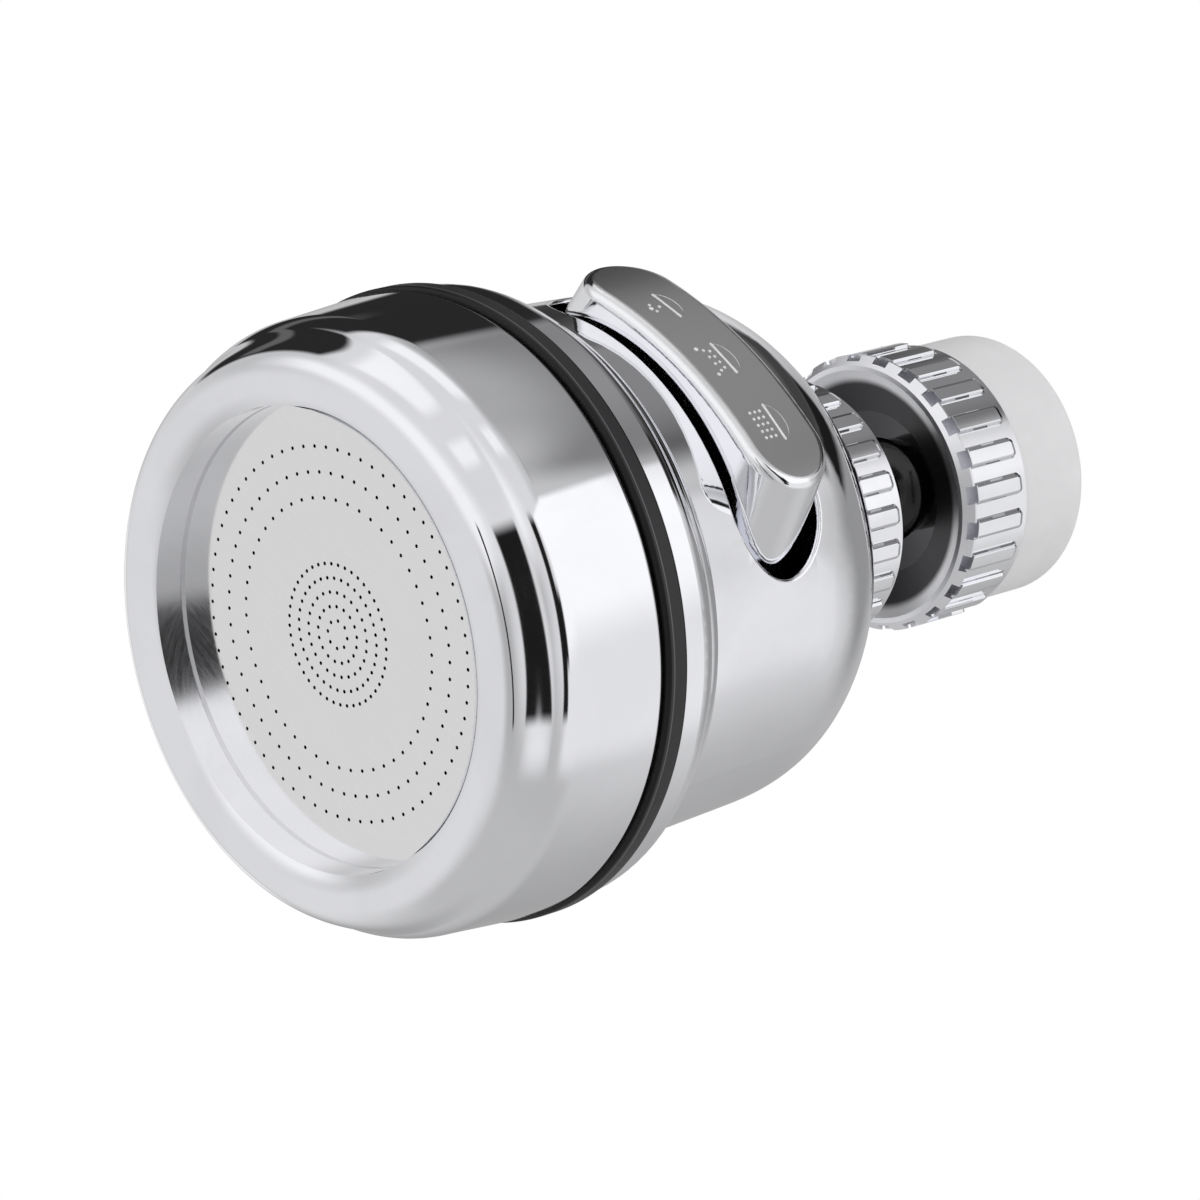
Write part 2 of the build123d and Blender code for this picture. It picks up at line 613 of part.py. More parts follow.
def spool():
    """Sliding spool with a waist for the finger and grooves for its seals."""
    body = spool_place(0) * Cylinder(SPOOL_RADIUS, SPOOL_LENGTH)
    sleeve = Cylinder(SPOOL_RADIUS + FREE_GAP, 2 * (FINGER_TIP_RADIUS + FINGER_PLAY))
    cuts = [spool_place(0) * (sleeve - Cylinder(SPOOL_WAIST, SPOOL_LENGTH))]
    seal_seat = Cylinder(SPOOL_RADIUS + FREE_GAP, 2 * SEAL_SEAT)
    seal_seat -= Cylinder(SPOOL_RADIUS - 2 * SEAL_SEAT, 2 * SEAL_SEAT)
    first, last = SPOOL_SEAL_OFFSETS
    land_gap = last - first - 4 * SEAL_SEAT
    land = Cylinder(SPOOL_RADIUS + FREE_GAP, land_gap) - Cylinder(SPOOL_LAND_RADIUS, land_gap)
    for side in (-1, 1):
        cuts += [spool_place(side * offset) * seal_seat for offset in SPOOL_SEAL_OFFSETS]
        cuts.append(spool_place(side * (first + last) / 2) * land)
    return body - cuts


def spool_seals():
    """The spool's four O-rings."""
    places = [spool_place(side * offset) for side in (-1, 1) for offset in SPOOL_SEAL_OFFSETS]
    return Compound([place * seal_ring(SPOOL_RADIUS, SEAL_WIRE) for place in places])


def bore_plug(side):
    """Headed plug at one end of the valve's cross bore."""
    end = side * BARREL_LENGTH / 2
    head_x = end + side * PLUG_HEAD_THICKNESS / 2
    stem_x = end - side * PLUG_LENGTH / 2
    head = crosswise(PLUG_HEAD_RADIUS, PLUG_HEAD_THICKNESS, head_x, SPOOL_Y, LEVER_Z)
    return head + crosswise(BARREL_BORE - SEAT_FIT, PLUG_LENGTH, stem_x, SPOOL_Y, LEVER_Z)


def valve_gasket():
    """Flat gasket with the valve's two outlet ports."""
    body = upright(CORE_RADIUS, GASKET_Z, DISTRIBUTOR_Z)
    for side in (-1, 1):
        body -= upright(OUTLET_PORT_RADIUS, GASKET_Z, DISTRIBUTOR_Z, side * OUTLET_PORT_OFFSET, SPOOL_Y)
    return body


def distributor():
    """Disc with a feed groove to the middle chamber and a port to the outer one."""
    disc_end = DISTRIBUTOR_Z - DISTRIBUTOR_DISC
    height = DISTRIBUTOR_Z - PLATE_SEAL_Z
    body = upright(CORE_RADIUS, DISTRIBUTOR_Z, disc_end)
    body += ring(CHAMBER_RADIUS + DISTRIBUTOR_WALL, CHAMBER_RADIUS, DISTRIBUTOR_Z, height)
    body += ring(CORE_RADIUS, CORE_RADIUS - DISTRIBUTOR_WALL, DISTRIBUTOR_Z, height)
    feed_length = OUTLET_PORT_OFFSET + FEED_WIDTH
    feed = Pos(-OUTLET_PORT_OFFSET / 2, SPOOL_Y, DISTRIBUTOR_Z) * Box(feed_length, FEED_WIDTH, 2 * FEED_DEPTH)
    body -= feed
    body -= upright(FEED_WIDTH / 2, DISTRIBUTOR_Z, disc_end, 0, SPOOL_Y)
    return body - upright(OUTLET_PORT_RADIUS, DISTRIBUTOR_Z, disc_end, OUTLET_PORT_OFFSET, SPOOL_Y)


def plate_gasket():
    """Gasket between the plate's rim and the distributor's outer wall."""
    return ring(CORE_RADIUS, CORE_RADIUS - DISTRIBUTOR_WALL, PLATE_SEAL_Z, GASKET_THICKNESS)


def center_seal():
    """Gasket between the plate and the wall of the middle chamber."""
    return ring(CHAMBER_RADIUS + DISTRIBUTOR_WALL, CHAMBER_RADIUS, PLATE_SEAL_Z, GASKET_THICKNESS)


def spray_holes():
    """Places of the fine holes: close rings in the middle, wide rings outside."""
    inner = zip(INNER_RING_COUNTS, INNER_RING_TURNS)
    rings = [(INNER_RING_PITCH * (i + 1), count, turn) for i, (count, turn) in enumerate(inner)]
    rings += [(radius, count, OUTER_RING_TURN) for radius, count in zip(OUTER_RING_RADII, OUTER_RING_COUNTS)]
    return [place for radius, count, turn in rings for place in around(count, radius, turn)]


def spray_plate():
    """Thin steel plate, pierced by rings of fine holes."""
    outline = Wire.make_circle(PLATE_RADIUS)
    pierced = RegularPolygon(HOLE_RADIUS, HOLE_SIDES).wire()
    face = Face(outline, [place * pierced for place in spray_holes()])
    return Pos(0, 0, FACE_Z) * extrude(face, PLATE_THICKNESS, dir=(0, 0, 1))


def trim_ring():
    """Black ring, a little proud of the two shells that clamp it."""
    body = ring(HEAD_RADIUS, THREADED_DRUM_RADIUS, PARTING_Z, TRIM_HEIGHT)
    edges = body.edges().filter_by(GeomType.CIRCLE).group_by(SortBy.RADIUS)[-1]
    return fillet(edges, TRIM_ROUND)


def front_shell():
    """Chrome drum with a valley behind its rounded rim and a recess for the plate."""
    seat_top = FACE_Z + SEAT_RING_HEIGHT
    inner = Polyline(
        up(RECESS_RADIUS, FACE_Z - RECESS_DEPTH),
        up(RECESS_RADIUS, FACE_Z - RECESS_CHAMFER),
        up(RECESS_RADIUS + RECESS_CHAMFER, FACE_Z),
        up(SEAT_RADIUS, FACE_Z),
        up(SEAT_RADIUS, seat_top),
        up(THREADED_DRUM_RADIUS, seat_top),
        up(THREADED_DRUM_RADIUS, DRUM_Z),
        up(DRUM_RADIUS - DRUM_ROUND, DRUM_Z),
    )
    edge_start = up(DRUM_RADIUS - DRUM_ROUND, DRUM_Z)
    edge_end = up(DRUM_RADIUS, DRUM_Z - DRUM_ROUND)
    drum = TangentArc(edge_start, edge_end, tangent=(1, 0, 0))
    drum += Line(edge_end, up(DRUM_FOOT_RADIUS, FACE_Z + DRUM_FOOT_RISE))
    shoulder = ThreePointArc(
        up(DRUM_FOOT_RADIUS, FACE_Z + DRUM_FOOT_RISE),
        up(SHOULDER_RADIUS, FACE_Z + SHOULDER_RISE),
        up(VALLEY_RADIUS, FACE_Z + VALLEY_RISE),
    )
    rim = Spline(
        up(VALLEY_RADIUS, FACE_Z + VALLEY_RISE),
        up(RIM_CREST_RADIUS, RIM_Z),
        tangents=[up(-sin(radians(FLANK_SLOPE)), -cos(radians(FLANK_SLOPE))), up(-1, 0)],
    )
    rim += ThreePointArc(
        up(RIM_CREST_RADIUS, RIM_Z),
        up(RIM_INNER_RADIUS, RIM_Z + RIM_INNER_DROP),
        up(RECESS_RADIUS, FACE_Z - RECESS_DEPTH),
    )
    return revolve(make_face(inner + drum + shoulder + rim), Axis.Z)


def inlet_washer():
    """Rubber washer that the tap's end presses on."""
    return ring(WASHER_RADIUS - SEAT_FIT, WASHER_BORE, WASHER_Z, WASHER_THICKNESS)


def filter_screen():
    """Thin strainer disc under the washer."""
    return upright(WASHER_RADIUS - SEAT_FIT, SCREEN_Z, FLOOR_Z)


PIECES = {
    "tap_connector": tap_connector,
    "inlet_washer": inlet_washer,
    "filter_screen": filter_screen,
    "ball_seal": ball_seal,
    "ball_collar": ball_collar,
    "slip_ring": slip_ring,
    "ball_stem": ball_stem,
    "neck_nut": neck_nut,
    "neck_washer": neck_washer,
    "rear_housing": rear_housing,
    "lever": lever,
    "lever_pin": lever_pin,
    "valve_body": valve_body,
    "inlet_o_ring": inlet_o_ring,
    "spool": spool,
    "spool_seals": spool_seals,
    "left_bore_plug": lambda: bore_plug(-1),
    "right_bore_plug": lambda: bore_plug(1),
    "valve_gasket": valve_gasket,
    "distributor": distributor,
    "center_seal": center_seal,
    "plate_gasket": plate_gasket,
    "spray_plate": spray_plate,
    "trim_ring": trim_ring,
    "front_shell": front_shell,
}


def main():
    """Writes every piece to its own file."""
    os.makedirs("parts", exist_ok=True)
    for name, make in PIECES.items():
        export_step(make(), f"parts/{name}.step")


main()
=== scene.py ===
"""Looks of the swivel faucet extender: finishes, threads, strainer wires, lever signs and studio."""

from __future__ import annotations

import cmath
import logging
import math
from abc import ABC, abstractmethod
from dataclasses import dataclass, field
from enum import Enum
from typing import Any, Callable, Sequence

import bpy
from mathutils import Matrix, Vector


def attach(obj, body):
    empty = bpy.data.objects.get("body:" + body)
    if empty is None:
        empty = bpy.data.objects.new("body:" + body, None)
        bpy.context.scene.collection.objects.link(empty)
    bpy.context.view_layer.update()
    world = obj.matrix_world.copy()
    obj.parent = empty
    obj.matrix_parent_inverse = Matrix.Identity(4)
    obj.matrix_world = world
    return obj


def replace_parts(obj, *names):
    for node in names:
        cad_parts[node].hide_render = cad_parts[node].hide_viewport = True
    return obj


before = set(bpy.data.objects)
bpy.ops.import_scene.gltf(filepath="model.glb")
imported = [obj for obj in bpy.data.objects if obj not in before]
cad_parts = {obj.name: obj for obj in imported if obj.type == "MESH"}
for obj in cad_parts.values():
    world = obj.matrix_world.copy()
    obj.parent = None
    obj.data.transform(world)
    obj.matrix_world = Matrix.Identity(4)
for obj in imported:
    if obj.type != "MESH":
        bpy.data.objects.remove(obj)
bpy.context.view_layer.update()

LOG = logging.getLogger("faucet_extender")
MM = 0.001

Colour = tuple[float, float, float]
Point2 = tuple[float, float]


class Slot(Enum):
    """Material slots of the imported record."""

    POLISHED_CHROME = "polished_chrome"
    SATIN_CHROME = "satin_chrome"
    FROSTED_PLASTIC = "frosted_plastic"
    BLACK_PLASTIC = "black_plastic"
    PLATE_STEEL = "plate_steel"
    CORE_PLASTIC = "core_plastic"
    SEAL_RUBBER = "seal_rubber"


class Body(Enum):
    """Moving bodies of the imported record."""

    INLET = "inlet"
    SLIP_RING = "slip_ring"
    STEM = "stem"
    HEAD = "head"
    LEVER = "lever"
    SPOOL = "spool"


class NodeCanvas:
    """Adds and links nodes in one node tree."""

    def __init__(self, tree: bpy.types.NodeTree) -> None:
        """Starts on a tree.

        Args:
            tree: The tree that takes the nodes.
        """
        self.tree = tree

    def node(self, kind: str, values: dict[str | int, Any] | None = None, **settings: Any) -> bpy.types.Node:
        """Adds a node.

        Args:
            kind: The node's type name.
            values: Values or output sockets for inputs, by name or number.
            **settings: Properties of the node itself.

        Returns:
            The new node.
        """
        made = self.tree.nodes.new(kind)
        for name, value in settings.items():
            setattr(made, name, value)
        for key, value in (values or {}).items():
            if isinstance(value, bpy.types.NodeSocket):
                self.tree.links.new(value, made.inputs[key])
            else:
                made.inputs[key].default_value = value
        return made

    def math(self, operation: str, first: Any, second: Any = 0.0) -> bpy.types.NodeSocket:
        """Adds a math node.

        Args:
            operation: Name of the operation.
            first: First number or socket.
            second: Second number or socket.

        Returns:
            The result's socket.
        """
        return self.node("ShaderNodeMath", {0: first, 1: second}, operation=operation).outputs[0]

    def link(self, source: bpy.types.NodeSocket, target: bpy.types.NodeSocket) -> None:
        """Joins an output to an input."""
        self.tree.links.new(source, target)


@dataclass(frozen=True)
class GroupSocket:
    """One named socket of a shader group."""

    name: str
    kind: str = "NodeSocketFloat"
    output: bool = False
    value: float | None = None


def shader_group(
    name: str, sockets: Sequence[GroupSocket], fill: Callable[[NodeCanvas, bpy.types.Node, bpy.types.Node], None]
) -> bpy.types.NodeTree:
    """Builds a shader group once and keeps it for every material.

    Args:
        name: Name of the group.
        sockets: Its inputs and outputs.
        fill: Function that adds the inner nodes between the group's input and output.

    Returns:
        The group's node tree.
    """
    known = bpy.data.node_groups.get(name)
    if known is not None:
        return known
    tree = bpy.data.node_groups.new(name, "ShaderNodeTree")
    for socket in sockets:
        direction = "OUTPUT" if socket.output else "INPUT"
        made = tree.interface.new_socket(socket.name, in_out=direction, socket_type=socket.kind)
        if socket.value is not None:
            made.default_value = socket.value
    canvas = NodeCanvas(tree)
    fill(canvas, canvas.node("NodeGroupInput"), canvas.node("NodeGroupOutput"))
    return tree


def fill_handling_film(canvas: NodeCanvas, given: bpy.types.Node, result: bpy.types.Node) -> None:
    """Fills the group that mottles a surface with a thin film from handling.

    Args:
        canvas: The group's canvas.
        given: The group's input node.
        result: The group's output node.
    """
    place = canvas.node("ShaderNodeTexCoord").outputs["Object"]
    cloud = canvas.node(
        "ShaderNodeTexNoise",
        {"Vector": place, "Scale": given.outputs["Scale"], "Detail": 5.0, "Roughness": 0.62, "Distortion": 0.6},
    )
    mask = canvas.node(
        "ShaderNodeMapRange",
        {"Value": cloud.outputs["Fac"], "From Min": 0.35, "From Max": 0.72, "To Min": 0.0, "To Max": given.outputs["Amount"]},
        interpolation_type="SMOOTHSTEP",
    )
    canvas.link(mask.outputs["Result"], result.inputs["Film"])


def handling_film() -> bpy.types.NodeTree:
    """Returns the shared group for a thin uneven film."""
    sockets = (
        GroupSocket("Scale", value=80.0),
        GroupSocket("Amount", value=1.0),
        GroupSocket("Film", output=True),
    )
    return shader_group("handling_film", sockets, fill_handling_film)


def fill_fine_grain(canvas: NodeCanvas, given: bpy.types.Node, result: bpy.types.Node) -> None:
    """Fills the group for a fine grain that may be stretched along an axis.

    Args:
        canvas: The group's canvas.
        given: The group's input node.
        result: The group's output node.
    """
    place = canvas.node("ShaderNodeTexCoord").outputs["Object"]
    stretched = canvas.node("ShaderNodeVectorMath", {0: place, 1: given.outputs["Stretch"]}, operation="MULTIPLY")
    coarse = canvas.node(
        "ShaderNodeTexNoise",
        {"Vector": stretched.outputs[0], "Scale": given.outputs["Scale"], "Detail": given.outputs["Detail"]},
    )
    canvas.link(coarse.outputs["Fac"], result.inputs["Height"])
    tone = canvas.node("ShaderNodeMapRange", {"Value": coarse.outputs["Fac"], "From Min": 0.3, "From Max": 0.7})
    canvas.link(tone.outputs["Result"], result.inputs["Tone"])


def fine_grain() -> bpy.types.NodeTree:
    """Returns the shared group for grain."""
    sockets = (
        GroupSocket("Scale", value=2000.0),
        GroupSocket("Stretch", "NodeSocketVector"),
        GroupSocket("Detail", value=4.0),
        GroupSocket("Height", output=True),
        GroupSocket("Tone", output=True),
    )
    return shader_group("fine_grain", sockets, fill_fine_grain)


def fill_soft_card(canvas: NodeCanvas, given: bpy.types.Node, result: bpy.types.Node) -> None:
    """Fills the group that marks the directions in which a soft-edged studio card lies.

    Args:
        canvas: The group's canvas.
        given: The group's input node.
        result: The group's output node.
    """
    def along(axis: str) -> bpy.types.NodeSocket:
        """Returns the direction's part along one of the card's axes."""
        pair = {0: given.outputs["Direction"], 1: given.outputs[axis]}
        return canvas.node("ShaderNodeVectorMath", pair, operation="DOT_PRODUCT").outputs["Value"]

    def inside(angle: bpy.types.NodeSocket, half: str, edge: str) -> bpy.types.NodeSocket:
        """Returns 1 inside half the card's size and 0 outside, with a soft edge."""
        size, soft = given.outputs[half], given.outputs[edge]
        ramp = canvas.node(
            "ShaderNodeMapRange",
            {
                "Value": canvas.math("ABSOLUTE", angle),
                "From Min": canvas.math("SUBTRACT", size, soft),
                "From Max": canvas.math("ADD", size, soft),
                "To Min": 1.0,
                "To Max": 0.0,
            },
            interpolation_type="SMOOTHSTEP",
        )
        return ramp.outputs["Result"]

    across = canvas.math("ARCTAN2", along("Right"), along("Centre"))
    upward = canvas.math("ARCSINE", along("Up"))
    mask = canvas.math("MULTIPLY", inside(across, "Half Width", "Side Softness"), inside(upward, "Half Height", "Softness"))
    canvas.link(mask, result.inputs["Mask"])


def soft_card() -> bpy.types.NodeTree:
    """Returns the shared group for the studio's cards."""
    sockets = (
        GroupSocket("Direction", "NodeSocketVector"),
        GroupSocket("Centre", "NodeSocketVector"),
        GroupSocket("Right", "NodeSocketVector"),
        GroupSocket("Up", "NodeSocketVector"),
        GroupSocket("Half Width"),
        GroupSocket("Half Height"),
        GroupSocket("Softness"),
        GroupSocket("Side Softness"),
        GroupSocket("Mask", output=True),
    )
    return shader_group("soft_card", sockets, fill_soft_card)


def fill_grip_relief(canvas: NodeCanvas, given: bpy.types.Node, result: bpy.types.Node) -> None:
    """Fills the group that rounds the edges of the grip panels on a ring.

    Args:
        canvas: The group's canvas.
        given: The group's input node.
        result: The group's output node.
    """
    place = canvas.node("ShaderNodeTexCoord").outputs["Object"]
    axes = canvas.node("ShaderNodeSeparateXYZ", {"Vector": place}).outputs
    turns = canvas.math("DIVIDE", canvas.math("ARCTAN2", axes["Y"], axes["X"]), given.outputs["Pitch"])
    offset = canvas.math("ABSOLUTE", canvas.math("SUBTRACT", canvas.math("FRACT", canvas.math("ADD", turns, 100.5)), 0.5))
    across = canvas.math("MULTIPLY", canvas.math("MULTIPLY", offset, given.outputs["Pitch"]), given.outputs["Radius"])
    corner = given.outputs["Corner"]
    beside = canvas.math("ADD", canvas.math("SUBTRACT", across, given.outputs["Half Width"]), corner)
    beyond = canvas.math("ADD", canvas.math("SUBTRACT", axes["Z"], given.outputs["End"]), corner)
    past = canvas.node("ShaderNodeCombineXYZ", {"X": canvas.math("MAXIMUM", beside), "Y": canvas.math("MAXIMUM", beyond)})
    away = canvas.node("ShaderNodeVectorMath", {0: past.outputs[0]}, operation="LENGTH").outputs["Value"]
    edge = canvas.math("SUBTRACT", away, corner)
    ends = {"Value": edge, "From Min": canvas.math("MULTIPLY", given.outputs["Round"], -1.0), "From Max": given.outputs["Round"]}
    fall = canvas.node("ShaderNodeMapRange", {**ends, "To Min": 1.0, "To Max": 0.0}, interpolation_type="SMOOTHSTEP")
    flat = canvas.node("ShaderNodeCombineXYZ", {"X": axes["X"], "Y": axes["Y"]})
    radius = canvas.node("ShaderNodeVectorMath", {0: flat.outputs[0]}, operation="LENGTH").outputs["Value"]
    outside = canvas.math("GREATER_THAN", radius, canvas.math("MULTIPLY", given.outputs["Radius"], 0.93))
    over_lip = canvas.math("GREATER_THAN", axes["Z"], given.outputs["Foot"])
    shown = canvas.math("MULTIPLY", outside, over_lip)
    canvas.link(canvas.math("MULTIPLY", fall.outputs["Result"], shown), result.inputs["Height"])


def grip_relief() -> bpy.types.NodeTree:
    """Returns the shared group for the grip panels' round edges, in metres and radians."""
    inputs = ("Pitch", "Radius", "Half Width", "Corner", "End", "Foot", "Round")
    sockets = [GroupSocket(name) for name in inputs] + [GroupSocket("Height", output=True)]
    return shader_group("grip_relief", sockets, fill_grip_relief)


@dataclass(frozen=True)
class Finish(ABC):
    """A surface finish that makes one Blender material."""

    name: str

    def material(self) -> bpy.types.Material:
        """Returns the finish's material, made at first use."""
        known = bpy.data.materials.get(self.name)
        if known is not None:
            return known
        made = bpy.data.materials.new(self.name)
        made.use_nodes = True
        canvas = NodeCanvas(made.node_tree)
        self.shade(canvas, made.node_tree.nodes["Principled BSDF"])
        return made

    @abstractmethod
    def shade(self, canvas: NodeCanvas, surface: bpy.types.Node) -> None:
        """Adds the finish's nodes round the Principled surface."""

    def group(self, canvas: NodeCanvas, tree: bpy.types.NodeTree, values: dict[str | int, Any]) -> bpy.types.Node:
        """Places a shared group in a material.

        Args:
            canvas: The material's canvas.
            tree: The group's tree.
            values: The group's own values here.

        Returns:
            The group node.
        """
        return canvas.node("ShaderNodeGroup", values, node_tree=tree)

    def blend(self, canvas: NodeCanvas, mask: bpy.types.NodeSocket, low: Colour, high: Colour) -> bpy.types.NodeSocket:
        """Mixes two colours.

        Args:
            canvas: The material's canvas.
            mask: 0 for the first colour, 1 for the second.
            low: First colour.
            high: Second colour.

        Returns:
            The mixed colour's socket.
        """
        mix = canvas.node("ShaderNodeMix", {"Factor": mask, "A": (*low, 1.0), "B": (*high, 1.0)}, data_type="RGBA")
        return mix.outputs[2]

    def span(self, canvas: NodeCanvas, mask: bpy.types.NodeSocket, low: float, high: float) -> bpy.types.NodeSocket:
        """Maps a mask to a range of numbers.

        Args:
            canvas: The material's canvas.
            mask: A mask from 0 to 1.
            low: Number at 0.
            high: Number at 1.

        Returns:
            The number's socket.
        """
        ramp = canvas.node("ShaderNodeMapRange", {"Value": mask, "To Min": low, "To Max": high})
        return ramp.outputs["Result"]

    def bump(self, canvas: NodeCanvas, height: bpy.types.NodeSocket, strength: float, depth_mm: float) -> bpy.types.NodeSocket:
        """Turns a height into a bent normal.

        Args:
            canvas: The material's canvas.
            height: The height's socket.
            strength: Share of the bend that is used.
            depth_mm: Depth of the relief in millimetres.

        Returns:
            The normal's socket.
        """
        node = canvas.node("ShaderNodeBump", {"Strength": strength, "Distance": depth_mm * MM, "Height": height})
        return node.outputs["Normal"]


@dataclass(frozen=True)
class PolishedChrome(Finish):
    """Bright plating over moulded plastic, with the mould's faint ripple."""

    clean: Colour = (0.925, 0.928, 0.96)
    filmed: Colour = (0.86, 0.863, 0.893)
    gloss: float = 0.025
    haze: float = 0.075
    ripple_mm: float = 0.012

    def shade(self, canvas: NodeCanvas, surface: bpy.types.Node) -> None:
        """Adds film, haze and ripple round the Principled surface."""
        film = self.group(canvas, handling_film(), {"Scale": 55.0, "Amount": 0.8}).outputs["Film"]
        ripple = self.group(canvas, fine_grain(), {"Scale": 120.0, "Stretch": (1.0, 1.0, 0.6), "Detail": 0.0})
        surface.inputs["Metallic"].default_value = 1.0
        canvas.link(self.blend(canvas, film, self.clean, self.filmed), surface.inputs["Base Color"])
        canvas.link(self.span(canvas, film, self.gloss, self.haze), surface.inputs["Roughness"])
        canvas.link(self.bump(canvas, ripple.outputs["Height"], 0.5, self.ripple_mm), surface.inputs["Normal"])


@dataclass(frozen=True)
class RibbedChrome(Finish):
    """Plating over a ring of round-edged grip panels, with painted shade inside the ring's mouth, standing for the dark
    parts that the hollow mirrors.
    """

    ring_mm: float
    end_mm: float
    foot_mm: float
    mouth_mm: float
    clean: Colour = (0.925, 0.928, 0.96)
    filmed: Colour = (0.86, 0.863, 0.893)
    # Painted shade: dark colour of the plating inside the mouth, standing for the dark parts that the hollow mirrors.
    mouth_shade: Colour = (0.07, 0.07, 0.075)
    fade_mm: float = 0.9
    panels: int = 24
    half_width_mm: float = 0.875
    corner_mm: float = 0.45
    round_mm: float = 0.26
    relief_mm: float = 0.5
    lip_haze: float = 0.25

    def mouth(self, canvas: NodeCanvas) -> bpy.types.NodeSocket:
        """Marks the outside, where no shade is painted.

        Args:
            canvas: The material's canvas.

        Returns:
            0 inside the mouth, where shade is painted, and 1 outside it.
        """
        place = canvas.node("ShaderNodeTexCoord").outputs["Object"]
        flat = canvas.node("ShaderNodeVectorMath", {0: place, 1: (1.0, 1.0, 0.0)}, operation="MULTIPLY")
        radius = canvas.node("ShaderNodeVectorMath", {0: flat.outputs[0]}, operation="LENGTH").outputs["Value"]
        ends = {"Value": radius, "From Min": (self.mouth_mm - self.fade_mm) * MM, "From Max": self.mouth_mm * MM}
        return canvas.node("ShaderNodeMapRange", ends, interpolation_type="SMOOTHSTEP").outputs["Result"]

    def shade(self, canvas: NodeCanvas, surface: bpy.types.Node) -> None:
        """Adds the plating's film, the painted shade in the mouth and the panels' round edges."""
        film = self.group(canvas, handling_film(), {"Scale": 90.0, "Amount": 0.8}).outputs["Film"]
        metal = self.blend(canvas, film, self.clean, self.filmed)
        # Painted shade: the plating turns dark inside the mouth.
        values = {"Factor": self.mouth(canvas), "A": (*self.mouth_shade, 1.0), "B": metal}
        colour = canvas.node("ShaderNodeMix", values, data_type="RGBA")
        sizes = {"Radius": self.ring_mm, "Half Width": self.half_width_mm, "Corner": self.corner_mm}
        sizes |= {"End": self.end_mm, "Foot": self.foot_mm, "Round": self.round_mm}
        relief = self.group(canvas, grip_relief(), {name: size * MM for name, size in sizes.items()})
        relief.inputs["Pitch"].default_value = 2 * math.pi / self.panels
        surface.inputs["Metallic"].default_value = 1.0
        canvas.link(colour.outputs[2], surface.inputs["Base Color"])
        place = canvas.node("ShaderNodeTexCoord").outputs["Object"]
        height = canvas.node("ShaderNodeSeparateXYZ", {"Vector": place}).outputs["Z"]
        lip = canvas.math("MULTIPLY", canvas.math("LESS_THAN", height, self.foot_mm * MM), self.lip_haze)
        canvas.link(canvas.math("ADD", self.span(canvas, film, 0.04, 0.1), lip), surface.inputs["Roughness"])
        canvas.link(self.bump(canvas, relief.outputs["Height"], 1.0, self.relief_mm), surface.inputs["Normal"])


@dataclass(frozen=True)
class SatinChrome(Finish):
    """Plating that is satin on the lever's crown and bright on its sides."""

    bright: Colour = (0.925, 0.928, 0.955)
    satin: Colour = (0.76, 0.76, 0.77)
    bright_roughness: float = 0.06
    satin_roughness: float = 0.24
    crown_turn_deg: float = -5.0
    crown_edge: float = 0.90

    def shade(self, canvas: NodeCanvas, surface: bpy.types.Node) -> None:
        """Adds the satin crown, its blasted grain and the bright sides."""
        turn = math.radians(self.crown_turn_deg)
        facing = canvas.node("ShaderNodeTexCoord").outputs["Normal"]
        crown = (math.sin(turn), -math.cos(turn), 0.0)
        level = canvas.node("ShaderNodeVectorMath", {0: facing, 1: crown}, operation="DOT_PRODUCT").outputs["Value"]
        edge = {"Value": level, "From Min": self.crown_edge - 0.04, "From Max": self.crown_edge}
        top = canvas.node("ShaderNodeMapRange", edge, interpolation_type="SMOOTHSTEP").outputs["Result"]
        grain = self.group(canvas, fine_grain(), {"Scale": 5200.0, "Stretch": (1.0, 1.0, 1.0)})
        speckle = self.span(canvas, grain.outputs["Tone"], 0.9, 1.0)
        masked = canvas.math("MULTIPLY", top, speckle)
        surface.inputs["Metallic"].default_value = 1.0
        canvas.link(self.blend(canvas, masked, self.bright, self.satin), surface.inputs["Base Color"])
        canvas.link(self.span(canvas, masked, self.bright_roughness, self.satin_roughness), surface.inputs["Roughness"])
        height = canvas.math("MULTIPLY", grain.outputs["Height"], top)
        canvas.link(self.bump(canvas, height, 0.15, 0.004), surface.inputs["Normal"])


@dataclass(frozen=True)
class FrostedPlastic(Finish):
    """Milky moulded plastic that lets some light through."""

    clear: Colour = (0.785, 0.778, 0.79)
    milky: Colour = (0.83, 0.823, 0.835)
    scatter_mm: float = 1.6

    def shade(self, canvas: NodeCanvas, surface: bpy.types.Node) -> None:
        """Adds clouds in the plastic, a soft sheen and a fine mould texture."""
        cloud = self.group(canvas, handling_film(), {"Scale": 140.0, "Amount": 1.0}).outputs["Film"]
        grain = self.group(canvas, fine_grain(), {"Scale": 1800.0, "Stretch": (1.0, 1.0, 1.0)})
        surface.inputs["Subsurface Weight"].default_value = 0.45
        surface.inputs["Subsurface Radius"].default_value = (1.0, 1.0, 1.0)
        surface.inputs["Subsurface Scale"].default_value = self.scatter_mm * MM
        canvas.link(self.blend(canvas, cloud, self.clear, self.milky), surface.inputs["Base Color"])
        canvas.link(self.span(canvas, grain.outputs["Tone"], 0.34, 0.48), surface.inputs["Roughness"])
        canvas.link(self.bump(canvas, grain.outputs["Height"], 0.2, 0.02), surface.inputs["Normal"])


